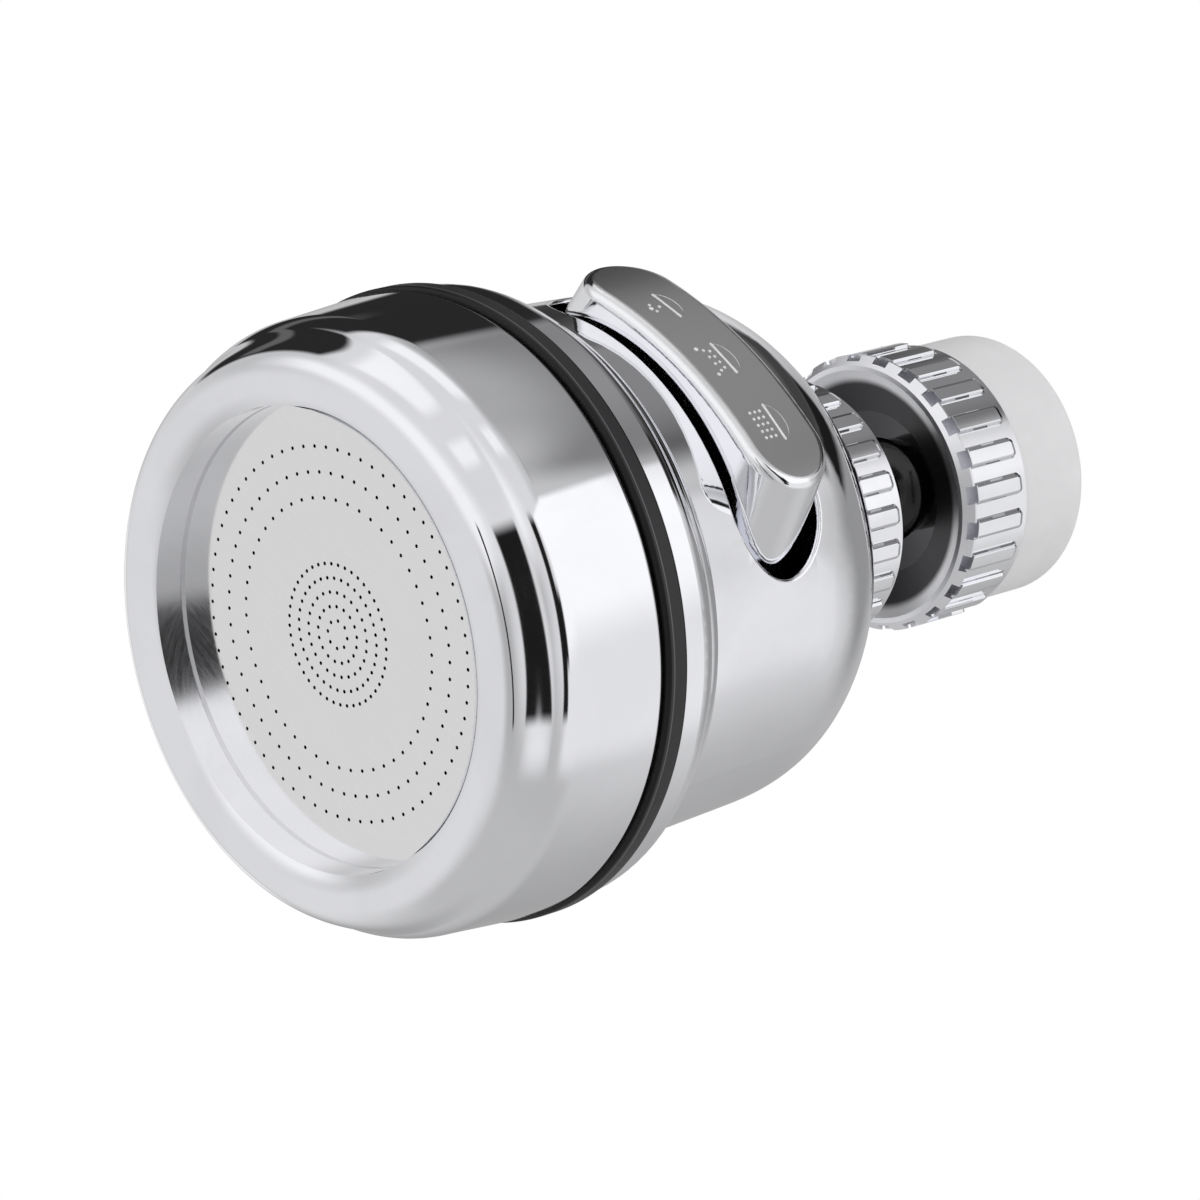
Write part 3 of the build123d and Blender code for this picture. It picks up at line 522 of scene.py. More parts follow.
@dataclass(frozen=True)
class MouldedPlastic(Finish):
    """Opaque moulded plastic with a fine grain."""

    dark: Colour = (0.012, 0.012, 0.013)
    light: Colour = (0.03, 0.03, 0.032)
    gloss: float = 0.22
    matt: float = 0.42
    grain_scale: float = 2600.0

    def shade(self, canvas: NodeCanvas, surface: bpy.types.Node) -> None:
        """Adds a mottled colour, uneven sheen and grain."""
        cloud = self.group(canvas, handling_film(), {"Scale": 120.0, "Amount": 0.7}).outputs["Film"]
        grain = self.group(canvas, fine_grain(), {"Scale": self.grain_scale, "Stretch": (1.0, 1.0, 1.0)})
        canvas.link(self.blend(canvas, cloud, self.dark, self.light), surface.inputs["Base Color"])
        canvas.link(self.span(canvas, grain.outputs["Tone"], self.gloss, self.matt), surface.inputs["Roughness"])
        canvas.link(self.bump(canvas, grain.outputs["Height"], 0.3, 0.015), surface.inputs["Normal"])


@dataclass(frozen=True)
class BandedPlastic(Finish):
    """Charcoal ring with black edges and one fine pale line round it."""

    charcoal: Colour = (0.026, 0.026, 0.028)
    black: Colour = (0.003, 0.003, 0.003)
    pale: Colour = (0.11, 0.11, 0.115)
    middle_mm: float = -73.95
    half_mm: float = 1.25
    edge_mm: float = 0.42
    line_mm: float = -74.5
    line_half_mm: float = 0.09

    def near(self, canvas: NodeCanvas, height: bpy.types.NodeSocket, place_mm: float, low_mm: float, high_mm: float) -> bpy.types.NodeSocket:
        """Marks the band round one height.

        Args:
            canvas: The material's canvas.
            height: The surface's height in metres.
            place_mm: The band's middle.
            low_mm: Distance within which the mark is full.
            high_mm: Distance at which it ends.

        Returns:
            The mark's socket.
        """
        away = canvas.math("ABSOLUTE", canvas.math("SUBTRACT", height, place_mm * MM))
        ends = {"Value": away, "From Min": low_mm * MM, "From Max": high_mm * MM, "To Min": 1.0, "To Max": 0.0}
        return canvas.node("ShaderNodeMapRange", ends).outputs["Result"]

    def shade(self, canvas: NodeCanvas, surface: bpy.types.Node) -> None:
        """Adds the edges, the line and a fine grain."""
        place = canvas.node("ShaderNodeTexCoord").outputs["Object"]
        height = canvas.node("ShaderNodeSeparateXYZ", {"Vector": place}).outputs["Z"]
        body = self.near(canvas, height, self.middle_mm, self.half_mm - self.edge_mm, self.half_mm - self.edge_mm + 0.08)
        line = self.near(canvas, height, self.line_mm, self.line_half_mm * 0.5, self.line_half_mm)
        grain = self.group(canvas, fine_grain(), {"Scale": 2600.0, "Stretch": (1.0, 1.0, 1.0)})
        ring = self.blend(canvas, body, self.black, self.charcoal)
        marked = canvas.node("ShaderNodeMix", {"Factor": line, "A": ring, "B": (*self.pale, 1.0)}, data_type="RGBA")
        canvas.link(marked.outputs[2], surface.inputs["Base Color"])
        surface.inputs["Specular IOR Level"].default_value = 0.3
        canvas.link(self.span(canvas, grain.outputs["Tone"], 0.36, 0.46), surface.inputs["Roughness"])
        canvas.link(self.bump(canvas, grain.outputs["Height"], 0.3, 0.01), surface.inputs["Normal"])


@dataclass(frozen=True)
class RolledSteel(Finish):
    """Thin rolled stainless steel with a faint grain along the sheet."""

    dull: Colour = (0.865, 0.865, 0.87)
    bright: Colour = (0.885, 0.885, 0.89)
    stretch: tuple[float, float, float] = (0.12, 1.0, 1.0)

    def shade(self, canvas: NodeCanvas, surface: bpy.types.Node) -> None:
        """Adds rolled streaks in colour, sheen and relief."""
        streak = self.group(canvas, fine_grain(), {"Scale": 3200.0, "Stretch": self.stretch})
        film = self.group(canvas, handling_film(), {"Scale": 70.0, "Amount": 0.6}).outputs["Film"]
        tone = canvas.math("MAXIMUM", streak.outputs["Tone"], film)
        surface.inputs["Metallic"].default_value = 1.0
        canvas.link(self.blend(canvas, tone, self.dull, self.bright), surface.inputs["Base Color"])
        canvas.link(self.span(canvas, streak.outputs["Tone"], 0.08, 0.11), surface.inputs["Roughness"])
        canvas.link(self.bump(canvas, streak.outputs["Height"], 0.05, 0.001), surface.inputs["Normal"])


@dataclass(frozen=True)
class SealRubber(Finish):
    """Black rubber with a pale bloom."""

    black: Colour = (0.010, 0.010, 0.011)
    bloom: Colour = (0.045, 0.045, 0.048)

    def shade(self, canvas: NodeCanvas, surface: bpy.types.Node) -> None:
        """Adds bloom and a matt grain."""
        bloom = self.group(canvas, handling_film(), {"Scale": 200.0, "Amount": 1.0}).outputs["Film"]
        grain = self.group(canvas, fine_grain(), {"Scale": 3000.0, "Stretch": (1.0, 1.0, 1.0)})
        canvas.link(self.blend(canvas, bloom, self.black, self.bloom), surface.inputs["Base Color"])
        canvas.link(self.span(canvas, bloom, 0.55, 0.8), surface.inputs["Roughness"])
        canvas.link(self.bump(canvas, grain.outputs["Height"], 0.4, 0.02), surface.inputs["Normal"])


@dataclass(frozen=True)
class SignHighlightPaint(Finish):
    """Near-white paint on the raised sign marks, a painted highlight standing for the light that their plated relief
    catches, a little worn.
    """

    fresh: Colour = (0.88, 0.88, 0.89)
    worn: Colour = (0.70, 0.70, 0.71)

    def shade(self, canvas: NodeCanvas, surface: bpy.types.Node) -> None:
        """Adds wear in the paint's colour and sheen."""
        wear = self.group(canvas, handling_film(), {"Scale": 900.0, "Amount": 0.8}).outputs["Film"]
        canvas.link(self.blend(canvas, wear, self.fresh, self.worn), surface.inputs["Base Color"])
        canvas.link(self.span(canvas, wear, 0.3, 0.55), surface.inputs["Roughness"])


CHROME = PolishedChrome("bright_plating")
COLLAR_CHROME = RibbedChrome("collar_plating", ring_mm=13.9, end_mm=-10.2, foot_mm=-16.45, mouth_mm=11.9)
NUT_CHROME = RibbedChrome("nut_plating", ring_mm=13.3, end_mm=-27.1, foot_mm=-40.0, mouth_mm=0.0)
LEVER_CHROME = SatinChrome("lever_plating")
MILKY = FrostedPlastic("milky_plastic")
TRIM_BLACK = BandedPlastic("trim_plastic")
STEM_BLACK = MouldedPlastic("stem_plastic", dark=(0.006, 0.006, 0.007), light=(0.012, 0.012, 0.013), gloss=0.10, matt=0.20)
CORE_GREY = MouldedPlastic("core_plastic_grey", dark=(0.03, 0.03, 0.032), light=(0.05, 0.05, 0.053), gloss=0.35, matt=0.55)
STEEL = RolledSteel("sheet_steel")
RUBBER = SealRubber("seal_black_rubber")
# Painted highlight: the raised sign marks are painted near-white.
SIGN_HIGHLIGHT = SignHighlightPaint("sign_painted_highlight")


class MeshDraft:
    """Collects corners and faces, in millimetres, for one piece."""

    def __init__(self) -> None:
        """Starts with no corners."""
        self.corners: list[Vector] = []
        self.faces: list[tuple[int, ...]] = []

    def loop(self, points: Sequence[Vector]) -> list[int]:
        """Adds corners.

        Args:
            points: The corners' places.

        Returns:
            The corners' numbers.
        """
        start = len(self.corners)
        self.corners.extend(points)
        return list(range(start, start + len(points)))

    def bridge(self, first: Sequence[int], second: Sequence[int], closed: bool = True) -> None:
        """Joins two rows of corners with quads.

        Args:
            first: One row.
            second: The other row, as long as the first.
            closed: Whether the last corner joins the first.
        """
        count = len(first)
        for i in range(count if closed else count - 1):
            j = (i + 1) % count
            self.faces.append((first[i], first[j], second[j], second[i]))

    def cap(self, row: Sequence[int], flip: bool = False) -> None:
        """Closes a row with one face."""
        self.faces.append(tuple(reversed(row)) if flip else tuple(row))

    def sweep(self, path: Sequence[Vector], sides: Sequence[Sequence[Vector]]) -> None:
        """Makes a closed bar from cross-sections along a path.

        Args:
            path: The path's points.
            sides: For each point, the section's corners as offsets.
        """
        rows = [self.loop([p + offset for offset in section]) for p, section in zip(path, sides)]
        for first, second in zip(rows, rows[1:]):
            self.bridge(first, second)
        self.cap(rows[0], flip=True)
        self.cap(rows[-1])

    def lathe(self, profile: Sequence[Point2], count: int) -> None:
        """Turns a closed profile round Z.

        Args:
            profile: Radii and heights in order, upwards on the outside.
            count: How many steps make the turn.
        """
        rows = [self.loop(circle(radius, count, z)) for radius, z in profile]
        for first, second in zip(rows, rows[1:] + rows[:1]):
            self.bridge(first, second)

    def piece(self, name: str, finish: Finish, body: Body, slot: Slot, smooth_deg: float = 40.0) -> bpy.types.Object:
        """Makes the object, which rides on a body.

        Args:
            name: Name of the piece.
            finish: Its finish.
            body: The body it rides on.
            slot: The record's slot for its finish; not used.
            smooth_deg: Edges flatter than this are shaded smooth.

        Returns:
            The new object.
        """
        mesh = bpy.data.meshes.new(name)
        mesh.from_pydata([tuple(c * MM) for c in self.corners], [], self.faces)
        mesh.validate()
        mesh.update()
        made = bpy.data.objects.new(name, mesh)
        bpy.context.scene.collection.objects.link(made)
        mesh.materials.append(finish.material())
        mesh.shade_smooth()
        mesh.set_sharp_from_angle(angle=math.radians(smooth_deg))
        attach(made, body.value)
        LOG.info("piece %s: %d faces on %s", name, len(self.faces), body.value)
        return made


def dress(node: str, finish: Finish) -> bpy.types.Object:
    """Gives a CAD node its finish.

    Args:
        node: Name of the node.
        finish: The finish.

    Returns:
        The node's object.
    """
    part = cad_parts[node]
    for holder in part.material_slots:
        holder.material = finish.material()
    LOG.info("node %s: %s", node, finish.name)
    return part


def circle(radius: float, count: int, z: float) -> list[Vector]:
    """Returns points round Z.

    Args:
        radius: The circle's radius in millimetres.
        count: How many points.
        z: Their height in millimetres.

    Returns:
        The points in order.
    """
    turn = 2 * math.pi / count
    return [Vector((radius * math.cos(i * turn), radius * math.sin(i * turn), z)) for i in range(count)]


@dataclass
class TapInlet:
    """Connector with its thread, washer and strainer."""

    thread_radius: float = 11.0
    thread_pitch: float = 1.0
    thread_height: float = 0.5
    thread_start: float = -0.5
    thread_turns: float = 3.6
    steps_per_turn: int = 72
    taper_turns: float = 0.25
    screen_z: float = -6.0
    screen_radius: float = 6.9
    wire_radius: float = 0.09
    wire_pitch: float = 0.75

    def thread(self) -> bpy.types.Object:
        """Builds the tap thread's helical ridge in the connector's bore.

        Returns:
            The ridge.
        """
        draft = MeshDraft()
        steps = int(self.thread_turns * self.steps_per_turn)
        path: list[Vector] = []
        sections: list[list[Vector]] = []
        for i in range(steps + 1):
            turn = i / self.steps_per_turn
            fade = min(1.0, turn / self.taper_turns, (self.thread_turns - turn) / self.taper_turns)
            outward = Vector((math.cos(2 * math.pi * turn), math.sin(2 * math.pi * turn), 0.0))
            rise = Vector((0.0, 0.0, self.thread_pitch))
            path.append(outward * self.thread_radius + Vector((0.0, 0.0, self.thread_start - turn * self.thread_pitch)))
            depth = outward * -self.thread_height * max(fade, 0.05)
            sections.append([outward * 0.02 + rise * 0.46, depth + rise * 0.08, depth - rise * 0.08, outward * 0.02 - rise * 0.46])
        draft.sweep(path, sections)
        return draft.piece("tap_thread_ridge", MILKY, Body.INLET, Slot.FROSTED_PLASTIC, smooth_deg=30.0)

    def wire(self, draft: MeshDraft, offset: float, along_x: bool, phase: float) -> None:
        """Adds one wire of the strainer's weave.

        Args:
            draft: The weave's draft.
            offset: Distance of the wire from the middle.
            along_x: Whether the wire runs along X.
            phase: Which way it passes the first crossing.
        """
        reach = math.sqrt(self.screen_radius**2 - offset**2)
        count = max(6, int(4 * reach / self.wire_pitch) * 2)
        path: list[Vector] = []
        sections: list[list[Vector]] = []
        for i in range(count + 1):
            t = -reach + 2 * reach * i / count
            height = self.screen_z + 2 * self.wire_radius
            height += phase * self.wire_radius * math.sin(math.pi * t / self.wire_pitch + math.pi / 2)
            path.append(Vector((t, offset, height)) if along_x else Vector((offset, t, height)))
            ring = [(math.cos(a) * self.wire_radius, math.sin(a) * self.wire_radius) for a in (0, 1.047, 2.094, 3.142, 4.189, 5.236)]
            sections.append([Vector((0.0, a, b)) if along_x else Vector((-a, 0.0, b)) for a, b in ring])
        draft.sweep(path, sections)

    def strainer(self) -> bpy.types.Object:
        """Builds the woven wires over the strainer disc.

        Returns:
            The weave.
        """
        draft = MeshDraft()
        half = int(self.screen_radius / self.wire_pitch)
        for k in range(-half, half + 1):
            for along_x in (True, False):
                sign = 1.0 if (k % 2 == 0) == along_x else -1.0
                self.wire(draft, k * self.wire_pitch, along_x, sign)
        return draft.piece("strainer_weave", STEEL, Body.INLET, Slot.PLATE_STEEL, smooth_deg=70.0)

    def build(self) -> None:
        """Dresses the inlet's nodes and adds its thread and weave."""
        dress("tap_connector", MILKY)
        dress("inlet_washer", RUBBER)
        dress("filter_screen", RUBBER)
        self.thread()
        self.strainer()


@dataclass
class BallJoint:
    """Collar, seats, ball stem and neck nut."""

    rubber: tuple[str, ...] = ("ball_seal", "neck_washer")

    def build(self) -> None:
        """Dresses the joint's nodes."""
        for node in self.rubber:
            dress(node, RUBBER)
        dress("ball_collar", COLLAR_CHROME)
        dress("neck_nut", NUT_CHROME)
        dress("ball_stem", STEM_BLACK)
        dress("slip_ring", CORE_GREY)


class Spray(Enum):
    """Spray patterns that the lever's signs stand for."""

    JET = "jet"
    FAN = "fan"
    RAIN = "rain"


@dataclass
class RockerLever:
    """Lever with its three signs."""

    crest: float = 28.3
    crown_radius: float = 46.0
    pivot: float = 16.0
    middle_z: float = -54.8
    rest_turn_deg: float = -5.0
    stations: dict[Spray, float] = field(default_factory=lambda: {Spray.JET: -7.2, Spray.FAN: 1.15, Spray.RAIN: 9.3})
    bar_z: float = 0.2
    bar_half: float = 2.1
    bar_width: float = 0.28
    dot_radius: float = 0.17
    hood_height: float = 1.15
    hood_width: float = 0.12
    relief: float = 0.06
    root: float = 0.06

    def on_crown(self, along: float, across: float, lift: float) -> Vector:
        """Places a point over the crown of the lever at rest.

        Args:
            along: Distance from the middle along the lever.
            across: Distance from the middle towards the tap.
            lift: Height over the crown.

        Returns:
            The point in the row frame, in millimetres.
        """
        radius = self.crown_radius + lift
        angle = along / self.crown_radius
        centre = self.crown_radius - self.crest
        straight = Vector((radius * math.sin(angle), centre - radius * math.cos(angle) + self.pivot, 0.0))
        turned = Matrix.Rotation(math.radians(self.rest_turn_deg), 3, "Z") @ straight
        return turned + Vector((0.0, -self.pivot, self.middle_z + across))

    def patch(self, draft: MeshDraft, outline: Sequence[Point2]) -> None:
        """Adds a raised patch with a soft top edge.

        Args:
            draft: The signs' draft.
            outline: Its outline on the crown, anticlockwise.
        """
        mid_x = sum(p[0] for p in outline) / len(outline)
        mid_y = sum(p[1] for p in outline) / len(outline)
        rows = []
        for lift, inset in ((-self.root, 0.0), (self.relief * 0.6, 0.0), (self.relief, 0.25)):
            near = [(x + (mid_x - x) * inset * 0.3, y + (mid_y - y) * inset) for x, y in outline]
            rows.append(draft.loop([self.on_crown(x, y, lift) for x, y in near]))
        for first, second in zip(rows, rows[1:]):
            draft.bridge(first, second)
        draft.cap(rows[0], flip=True)
        draft.cap(rows[-1])

    def bar(self, draft: MeshDraft, station: float) -> None:
        """Adds a sign's bar with round ends."""
        half = self.bar_width / 2
        outline = []
        for side in (1, -1):
            for k in range(9):
                angle = -math.pi / 2 + math.pi * k / 8
                x = side * (self.bar_half - half + half * math.cos(angle))
                outline.append((station + x, self.bar_z + side * half * math.sin(angle)))
        self.patch(draft, outline)

    def dot(self, draft: MeshDraft, x: float, y: float, size: float = 1.0) -> None:
        """Adds a sign's round dot."""
        radius = self.dot_radius * size
        turn = 2 * math.pi / 12
        self.patch(draft, [(x + radius * math.cos(k * turn), y + radius * math.sin(k * turn)) for k in range(12)])

    def drops(self, spray: Spray) -> list[tuple[float, float, float]]:
        """Lists a sign's dots.

        Args:
            spray: Which sign.

        Returns:
            Each dot's place from the bar's middle and its size.
        """
        if spray is Spray.JET:
            return [(0.0, -0.95, 1.0), (-0.55, -1.75, 0.9), (0.0, -2.0, 1.3), (0.55, -1.75, 0.9)]
        if spray is Spray.FAN:
            spread = [(0.42 * (k - 1.5) * (1 + 0.22 * row), -0.85 - 0.62 * row, 0.9) for row in range(2) for k in range(4)]
            return [(1.8 * x, y, size) for x, y, size in spread] + [(-1.75, -2.1, 1.3), (1.75, -2.1, 1.1)]
        return [(0.72 * (k - 2), -0.85 - 0.62 * row, 0.9) for row in range(3) for k in range(5)]

    def hood(self, draft: MeshDraft, station: float) -> None:
        """Adds the thin arch over a sign's bar."""
        steps = 24
        path: list[list[Point2]] = []
        for k in range(steps + 1):
            angle = math.pi * k / steps
            x, y = math.cos(angle), math.sin(angle)
            reach, rise = self.bar_half * 0.92, self.hood_height
            base = self.bar_z + self.bar_width / 2
            inner = (station + x * (reach - self.hood_width), base + y * (rise - self.hood_width))
            path.append([(station + x * reach, base + y * rise), inner])
        rows = []
        for outer, inner in path:
            near, far = self.on_crown(*outer, -self.root), self.on_crown(*inner, -self.root)
            high = self.on_crown((outer[0] + inner[0]) / 2, (outer[1] + inner[1]) / 2, self.relief * 0.35)
            rows.append(draft.loop([near, high, far]))
        for first, second in zip(rows, rows[1:]):
            draft.bridge(first, second)
        draft.cap(rows[0], flip=True)
        draft.cap(rows[-1])

    def signs(self) -> None:
        """Builds the three signs' raised marks, painted near-white as a painted highlight, and their plated arches."""
        marks, arches = MeshDraft(), MeshDraft()
        for spray, station in self.stations.items():
            self.bar(marks, station)
            self.hood(arches, station)
            for x, y, size in self.drops(spray):
                self.dot(marks, station + x, self.bar_z + y, size)
        marks.piece("lever_sign_marks", SIGN_HIGHLIGHT, Body.LEVER, Slot.SATIN_CHROME)
        arches.piece("lever_sign_arches", LEVER_CHROME, Body.LEVER, Slot.SATIN_CHROME)

    def build(self) -> None:
        """Dresses the lever and its pin, and adds the signs."""
        dress("lever", LEVER_CHROME)
        dress("lever_pin", STEEL)
        self.signs()


@dataclass
class FrontShell:
    """Chrome drum and rim, turned finely so that the plating mirrors without facets."""

    face_z: float = -88.0
    recess_radius: float = 21.8
    recess_depth: float = 3.2
    recess_chamfer: float = 0.3
    seat_radius: float = 23.53
    seat_height: float = 2.0
    bore_radius: float = 26.63
    top_z: float = -75.2
    drum_radius: float = 29.75
    drum_round: float = 0.9
    foot: Point2 = (29.1, -84.8)
    shoulder: Point2 = (28.85, -86.3)
    valley: Point2 = (28.2, -87.6)
    crest: Point2 = (24.4, -92.0)
    inner: Point2 = (22.9, -91.8)
    flank_deg: float = 27.0
    flank_handle: float = 2.014
    crest_handle: float = 2.735
    steps: int = 288

    @staticmethod
    def arc(start: Point2, middle: Point2, end: Point2, count: int) -> list[Point2]:
        """Lists points of the arc through three points.

        Args:
            start: First point.
            middle: A point between.
            end: Last point.
            count: How many steps.

        Returns:
            The points, with both ends.
        """
        a, b, c = (complex(*p) for p in (start, middle, end))
        w = (c - a) / (b - a)
        centre = a + (b - a) * (w - abs(w) ** 2) / (2j * w.imag)
        turn = math.remainder(cmath.phase((c - centre) / (a - centre)), 2 * math.pi)
        points = [centre + (a - centre) * cmath.exp(1j * turn * k / count) for k in range(count + 1)]
        return [(p.real, p.imag) for p in points]

    def flank(self, count: int) -> list[Point2]:
        """Lists points of the rim's outer flank, from the valley to the crest.

        Args:
            count: How many steps.

        Returns:
            The points, with both ends.
        """
        slope = math.radians(self.flank_deg)
        start, end = complex(*self.valley), complex(*self.crest)
        first = start - self.flank_handle * complex(math.sin(slope), math.cos(slope))
        second = end + self.crest_handle
        points = []
        for k in range(count + 1):
            t = k / count
            near = (1 - t) ** 3 * start + 3 * (1 - t) ** 2 * t * first
            points.append(near + 3 * (1 - t) * t**2 * second + t**3 * end)
        return [(p.real, p.imag) for p in points]

    def profile(self) -> list[Point2]:
        """Returns the closed profile, upwards on the outside."""
        lip = (self.recess_radius, self.face_z - self.recess_depth)
        corner = self.drum_radius - self.drum_round
        slant = math.sqrt(0.5) * self.drum_round
        bend = (corner + slant, self.top_z - self.drum_round + slant)
        down = [
            (self.recess_radius, self.face_z - self.recess_chamfer),
            (self.recess_radius + self.recess_chamfer, self.face_z),
            (self.seat_radius, self.face_z),
            (self.seat_radius, self.face_z + self.seat_height),
            (self.bore_radius, self.face_z + self.seat_height),
            (self.bore_radius, self.top_z),
            *self.arc((corner, self.top_z), bend, (self.drum_radius, self.top_z - self.drum_round), 10),
            *self.arc(self.foot, self.shoulder, self.valley, 20),
            *self.flank(36)[1:],
            *self.arc(self.crest, self.inner, lip, 20)[1:],
        ]
        return [(radius, max(z, self.crest[1])) for radius, z in reversed(down)]

    def build(self) -> bpy.types.Object:
        """Builds the shell.

        Returns:
            The shell, which stands for the CAD's front shell.
        """
        draft = MeshDraft()
        draft.lathe(self.profile(), self.steps)
        shell = draft.piece("turned_front_shell", CHROME, Body.HEAD, Slot.POLISHED_CHROME, smooth_deg=30.0)
        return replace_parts(shell, "front_shell")


@dataclass
class SprayHead:
    """Housing, trim band, front shell, plate and the valve inside."""

    band_outer: float = 30.09
    band_inner: float = 26.64
    band_top: float = -72.71
    band_bottom: float = -75.19
    band_round: float = 0.4
    band_steps: int = 360
    plated: tuple[str, ...] = ("rear_housing", "front_shell")
    core: tuple[str, ...] = ("valve_body", "spool", "left_bore_plug", "right_bore_plug", "distributor")
    rubber: tuple[str, ...] = ("inlet_o_ring", "spool_seals", "valve_gasket", "center_seal", "plate_gasket")

    def trim_band(self) -> bpy.types.Object:
        """Turns the trim ring finely, so that its edge runs smoothly along the chrome.

        Returns:
            The band, which stands for the ring.
        """
        profile: list[Point2] = [(self.band_inner, self.band_top), (self.band_inner, self.band_bottom)]
        for z, start in ((self.band_bottom + self.band_round, -90.0), (self.band_top - self.band_round, 0.0)):
            for k in range(9):
                angle = math.radians(start + 90.0 * k / 8)
                middle = self.band_outer - self.band_round
                profile.append((middle + self.band_round * math.cos(angle), z + self.band_round * math.sin(angle)))
        draft = MeshDraft()
        draft.lathe(profile, self.band_steps)
        band = draft.piece("trim_band", TRIM_BLACK, Body.HEAD, Slot.BLACK_PLASTIC)
        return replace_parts(band, "trim_ring")

    def build(self) -> None:
        """Dresses the head's nodes and turns its trim band."""
        for node in self.plated:
            dress(node, CHROME)
        for node in self.core:
            dress(node, CORE_GREY)
        for node in self.rubber:
            dress(node, RUBBER)
        dress("trim_ring", TRIM_BLACK)
        dress("spray_plate", STEEL)
        self.trim_band()
        FrontShell().build()


@dataclass(frozen=True)
class StudioCard:
    """A soft-edged panel of the studio, by its direction from the object, in degrees."""

    azimuth: float
    elevation: float
    half_width: float
    half_height: float
    softness: float
    level: float
    roll: float = 0.0
    side_softness: float | None = None

    def axes(self) -> tuple[Vector, Vector, Vector]:
        """Returns the card's middle, right and up directions."""
        az, el = math.radians(self.azimuth), math.radians(self.elevation)
        centre = Vector((math.sin(az) * math.cos(el), -math.cos(az) * math.cos(el), math.sin(el)))
        right = Vector((math.cos(az), math.sin(az), 0.0))
        spin = Matrix.Rotation(math.radians(self.roll), 3, centre)
        return centre, spin @ right, spin @ centre.cross(right) * -1.0


@dataclass
class Studio:
    """World, lamps, floor and camera."""

    base_level: float = 0.74
    cards: tuple[StudioCard, ...] = (
        StudioCard(180, 35, 45, 25, 28, 0.36),
        StudioCard(125, -8, 48, 40, 22, 0.52),
        StudioCard(60, -42, 30, 20, 14, 0.46),
        StudioCard(-98, -18, 22, 24, 12, 0.56),
        StudioCard(90, 88, 27, 27, 13, 0.31),
        StudioCard(-38, -42, 52, 18, 12, 0.96),
        StudioCard(78, 22, 18, 24, 8, 0.84),
        StudioCard(-50, 13, 16, 10, 4, 0.97),
        StudioCard(-15, 8, 5, 9, 3, 0.95),
        StudioCard(-8, 36, 18, 12, 8, 0.58),
        StudioCard(-48, 37, 24, 12, 8, 0.42),
        StudioCard(-36, 47, 26, 6, 4, 0.24),
        StudioCard(-46, 57, 26, 6, 4, 0.13),
        StudioCard(-42, 65, 23, 6, 3, 0.055),
        StudioCard(-42, 77, 16, 7, 3, 0.012),
        StudioCard(0, 56, 9, 6, 3, 0.02),
        StudioCard(38.5, 28, 27, 19, 3, 1.06, side_softness=1.2),
        StudioCard(76, 28, 18, 22, 3, 0.84, side_softness=8),
        StudioCard(-98, 26, 21, 22, 5, 0.022, side_softness=2.5),
        StudioCard(-105, 24, 3, 14, 1.5, 0.12),
        StudioCard(-150, 12, 13, 9, 4, 0.95),
        StudioCard(46, -1.5, 33, 4.8, 1.5, 0.012, side_softness=3),
        StudioCard(50, 3, 12, 5, 1.5, 0.012, side_softness=4),
        StudioCard(46, -38, 32, 2.2, 0.8, 0.012, side_softness=2),
    )
    eye_mm: tuple[float, float, float] = (232.8, -353.4, -436.1)
    eye_right: tuple[float, float, float] = (0.5703, -0.3993, 0.7179)
    eye_down: tuple[float, float, float] = (0.7150, 0.6716, -0.1945)
    eye_forward: tuple[float, float, float] = (-0.4045, 0.6242, 0.6684)
    lens_mm: float = 180.0
    floor_z_mm: float = -92.0
    floor_half_mm: float = 6000.0
    floor_near_mm: float = 50.0
    floor_far_mm: float = 650.0
    floor_near_glow: float = 0.2
    floor_far_glow: float = 0.75

    def world(self) -> None:
        """Builds the studio round the object: white for the camera, cards for what the plating mirrors."""
        world = bpy.data.worlds.new("plain_studio")
        world.use_nodes = True
        bpy.context.scene.world = world
        tree = world.node_tree
        canvas = NodeCanvas(tree)
        ray = canvas.node("ShaderNodeTexCoord").outputs["Generated"]
        level: Any = self.base_level
        for card in self.cards:
            centre, right, up = card.axes()
            values: dict[str | int, Any] = {"Direction": ray, "Centre": centre, "Right": right, "Up": up}
            values["Half Width"] = math.radians(card.half_width)
            values["Half Height"] = math.radians(card.half_height)
            values["Softness"] = math.radians(card.softness)
            values["Side Softness"] = math.radians(card.softness if card.side_softness is None else card.side_softness)
            mask = canvas.node("ShaderNodeGroup", node_tree=soft_card())
            for key, value in values.items():
                if isinstance(value, bpy.types.NodeSocket):
                    canvas.link(value, mask.inputs[key])
                else:
                    mask.inputs[key].default_value = value
            mixed = canvas.node("ShaderNodeMix", {"Factor": mask.outputs["Mask"], "A": level, "B": card.level})
            level = mixed.outputs[0]
        path = canvas.node("ShaderNodeLightPath")
        seen = canvas.math("MAXIMUM", path.outputs["Is Camera Ray"], path.outputs["Is Transmission Ray"])
        shown = canvas.node("ShaderNodeMix", {"Factor": seen, "A": level, "B": 1.0})
        back = tree.nodes["Background"]
        back.inputs["Strength"].default_value = 1.0
        canvas.link(shown.outputs[0], back.inputs["Color"])

    def lamp(self, name: str, place_mm: Colour, size_mm: float, power: float) -> None:
        """Adds a square soft lamp that faces the object.

        Args:
            name: Name of the lamp.
            place_mm: Its place in millimetres.
            size_mm: Its side in millimetres.
            power: Its power in watts.
        """
        light = bpy.data.lights.new(name, "AREA")
        light.size = size_mm * MM
        light.energy = power
        made = bpy.data.objects.new(name, light)
        bpy.context.scene.collection.objects.link(made)
        made.location = Vector(place_mm) * MM
        aim = Vector((0.0, 0.0, -0.05)) - made.location
        made.rotation_euler = aim.to_track_quat("-Z", "Y").to_euler()
        made.visible_glossy = False

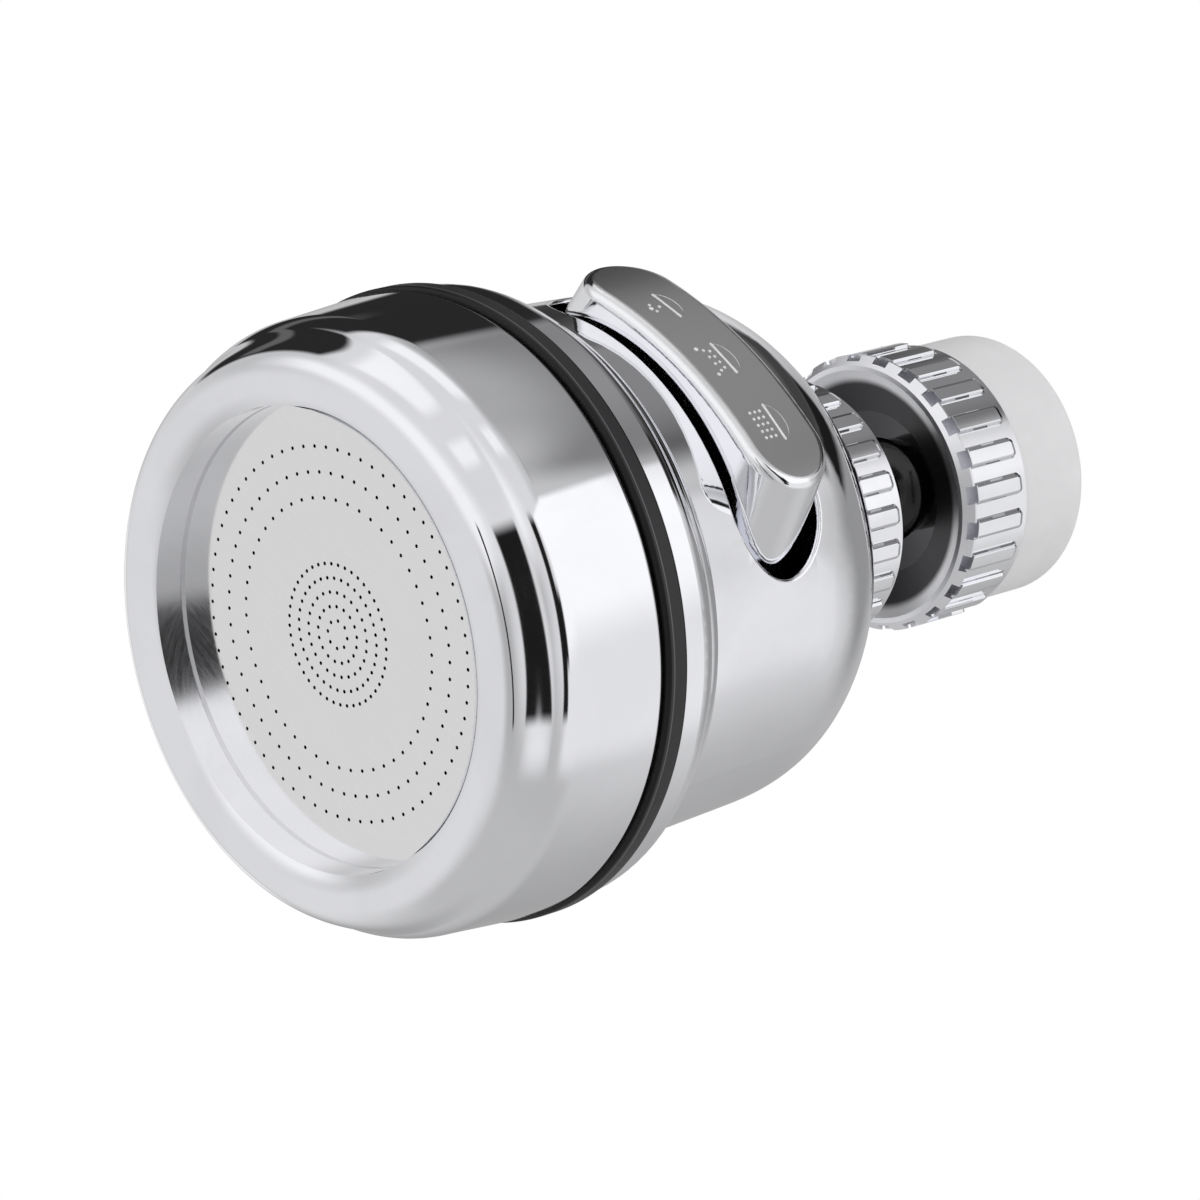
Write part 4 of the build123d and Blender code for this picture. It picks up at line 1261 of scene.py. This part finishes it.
    def floor(self) -> None:
        """Adds a pale floor that shows only from above and takes the object's shadow."""
        half, z = self.floor_half_mm * MM, self.floor_z_mm * MM
        mesh = bpy.data.meshes.new("studio_floor")
        mesh.from_pydata([(-half, -half, z), (half, -half, z), (half, half, z), (-half, half, z)], [], [(0, 1, 2, 3)])
        made = bpy.data.objects.new("studio_floor", mesh)
        bpy.context.scene.collection.objects.link(made)
        paint = bpy.data.materials.new("floor_paint")
        paint.use_nodes = True
        canvas = NodeCanvas(paint.node_tree)
        surface = paint.node_tree.nodes["Principled BSDF"]
        surface.inputs["Base Color"].default_value = (0.94, 0.94, 0.94, 1.0)
        surface.inputs["Roughness"].default_value = 0.9
        # Painted light: for the camera the floor glows white, faintly near the object and more strongly far from it.
        geometry = canvas.node("ShaderNodeNewGeometry")
        reach = canvas.node("ShaderNodeVectorMath", {0: geometry.outputs["Position"]}, operation="LENGTH")
        fade: dict[str | int, Any] = {"Value": reach.outputs["Value"]}
        fade.update({"From Min": self.floor_near_mm * MM, "From Max": self.floor_far_mm * MM})
        fade.update({"To Min": self.floor_near_glow, "To Max": self.floor_far_glow})
        glow = canvas.node("ShaderNodeMapRange", fade)
        surface.inputs["Emission Color"].default_value = (1.0, 1.0, 1.0, 1.0)
        canvas.link(glow.outputs["Result"], surface.inputs["Emission Strength"])
        below = geometry.outputs["Backfacing"]
        camera_ray = canvas.node("ShaderNodeLightPath").outputs["Is Camera Ray"]
        above = canvas.math("SUBTRACT", camera_ray, canvas.math("MULTIPLY", camera_ray, below))
        clear = canvas.node("ShaderNodeBsdfTransparent")
        shown = canvas.node("ShaderNodeMixShader", {0: above, 1: clear.outputs[0], 2: surface.outputs[0]})
        canvas.link(shown.outputs[0], paint.node_tree.nodes["Material Output"].inputs["Surface"])
        mesh.materials.append(paint)

    def camera(self) -> None:
        """Adds the camera at the photograph's viewing angle."""
        lens = bpy.data.cameras.new("photo_camera")
        lens.lens = self.lens_mm
        lens.sensor_width = 36.0
        lens.clip_start = 0.01
        made = bpy.data.objects.new("photo_camera", lens)
        bpy.context.scene.collection.objects.link(made)
        axes = (Vector(self.eye_right), -Vector(self.eye_down), -Vector(self.eye_forward))
        pose = Matrix([axis.normalized() for axis in axes]).transposed().to_4x4()
        pose.translation = Vector(self.eye_mm) * MM
        made.matrix_world = pose
        bpy.context.scene.camera = made

    def build(self) -> None:
        """Builds the whole studio."""
        self.world()
        self.lamp("key_lamp", (420.0, -380.0, 260.0), 400.0, 1.0)
        self.lamp("fill_lamp", (-420.0, -300.0, 180.0), 500.0, 0.5)
        self.lamp("back_softbox", (-160.0, 330.0, 170.0), 320.0, 0.6)
        self.floor()
        self.camera()
        bpy.context.scene.view_settings.view_transform = "Standard"


def main() -> None:
    """Builds every sub-assembly and the studio."""
    logging.basicConfig(level=logging.INFO, format="%(name)s: %(message)s")
    for part in (TapInlet(), BallJoint(), RockerLever(), SprayHead(), Studio()):
        part.build()
        LOG.info("built %s", type(part).__name__)


if __name__ == "__main__":
    main()
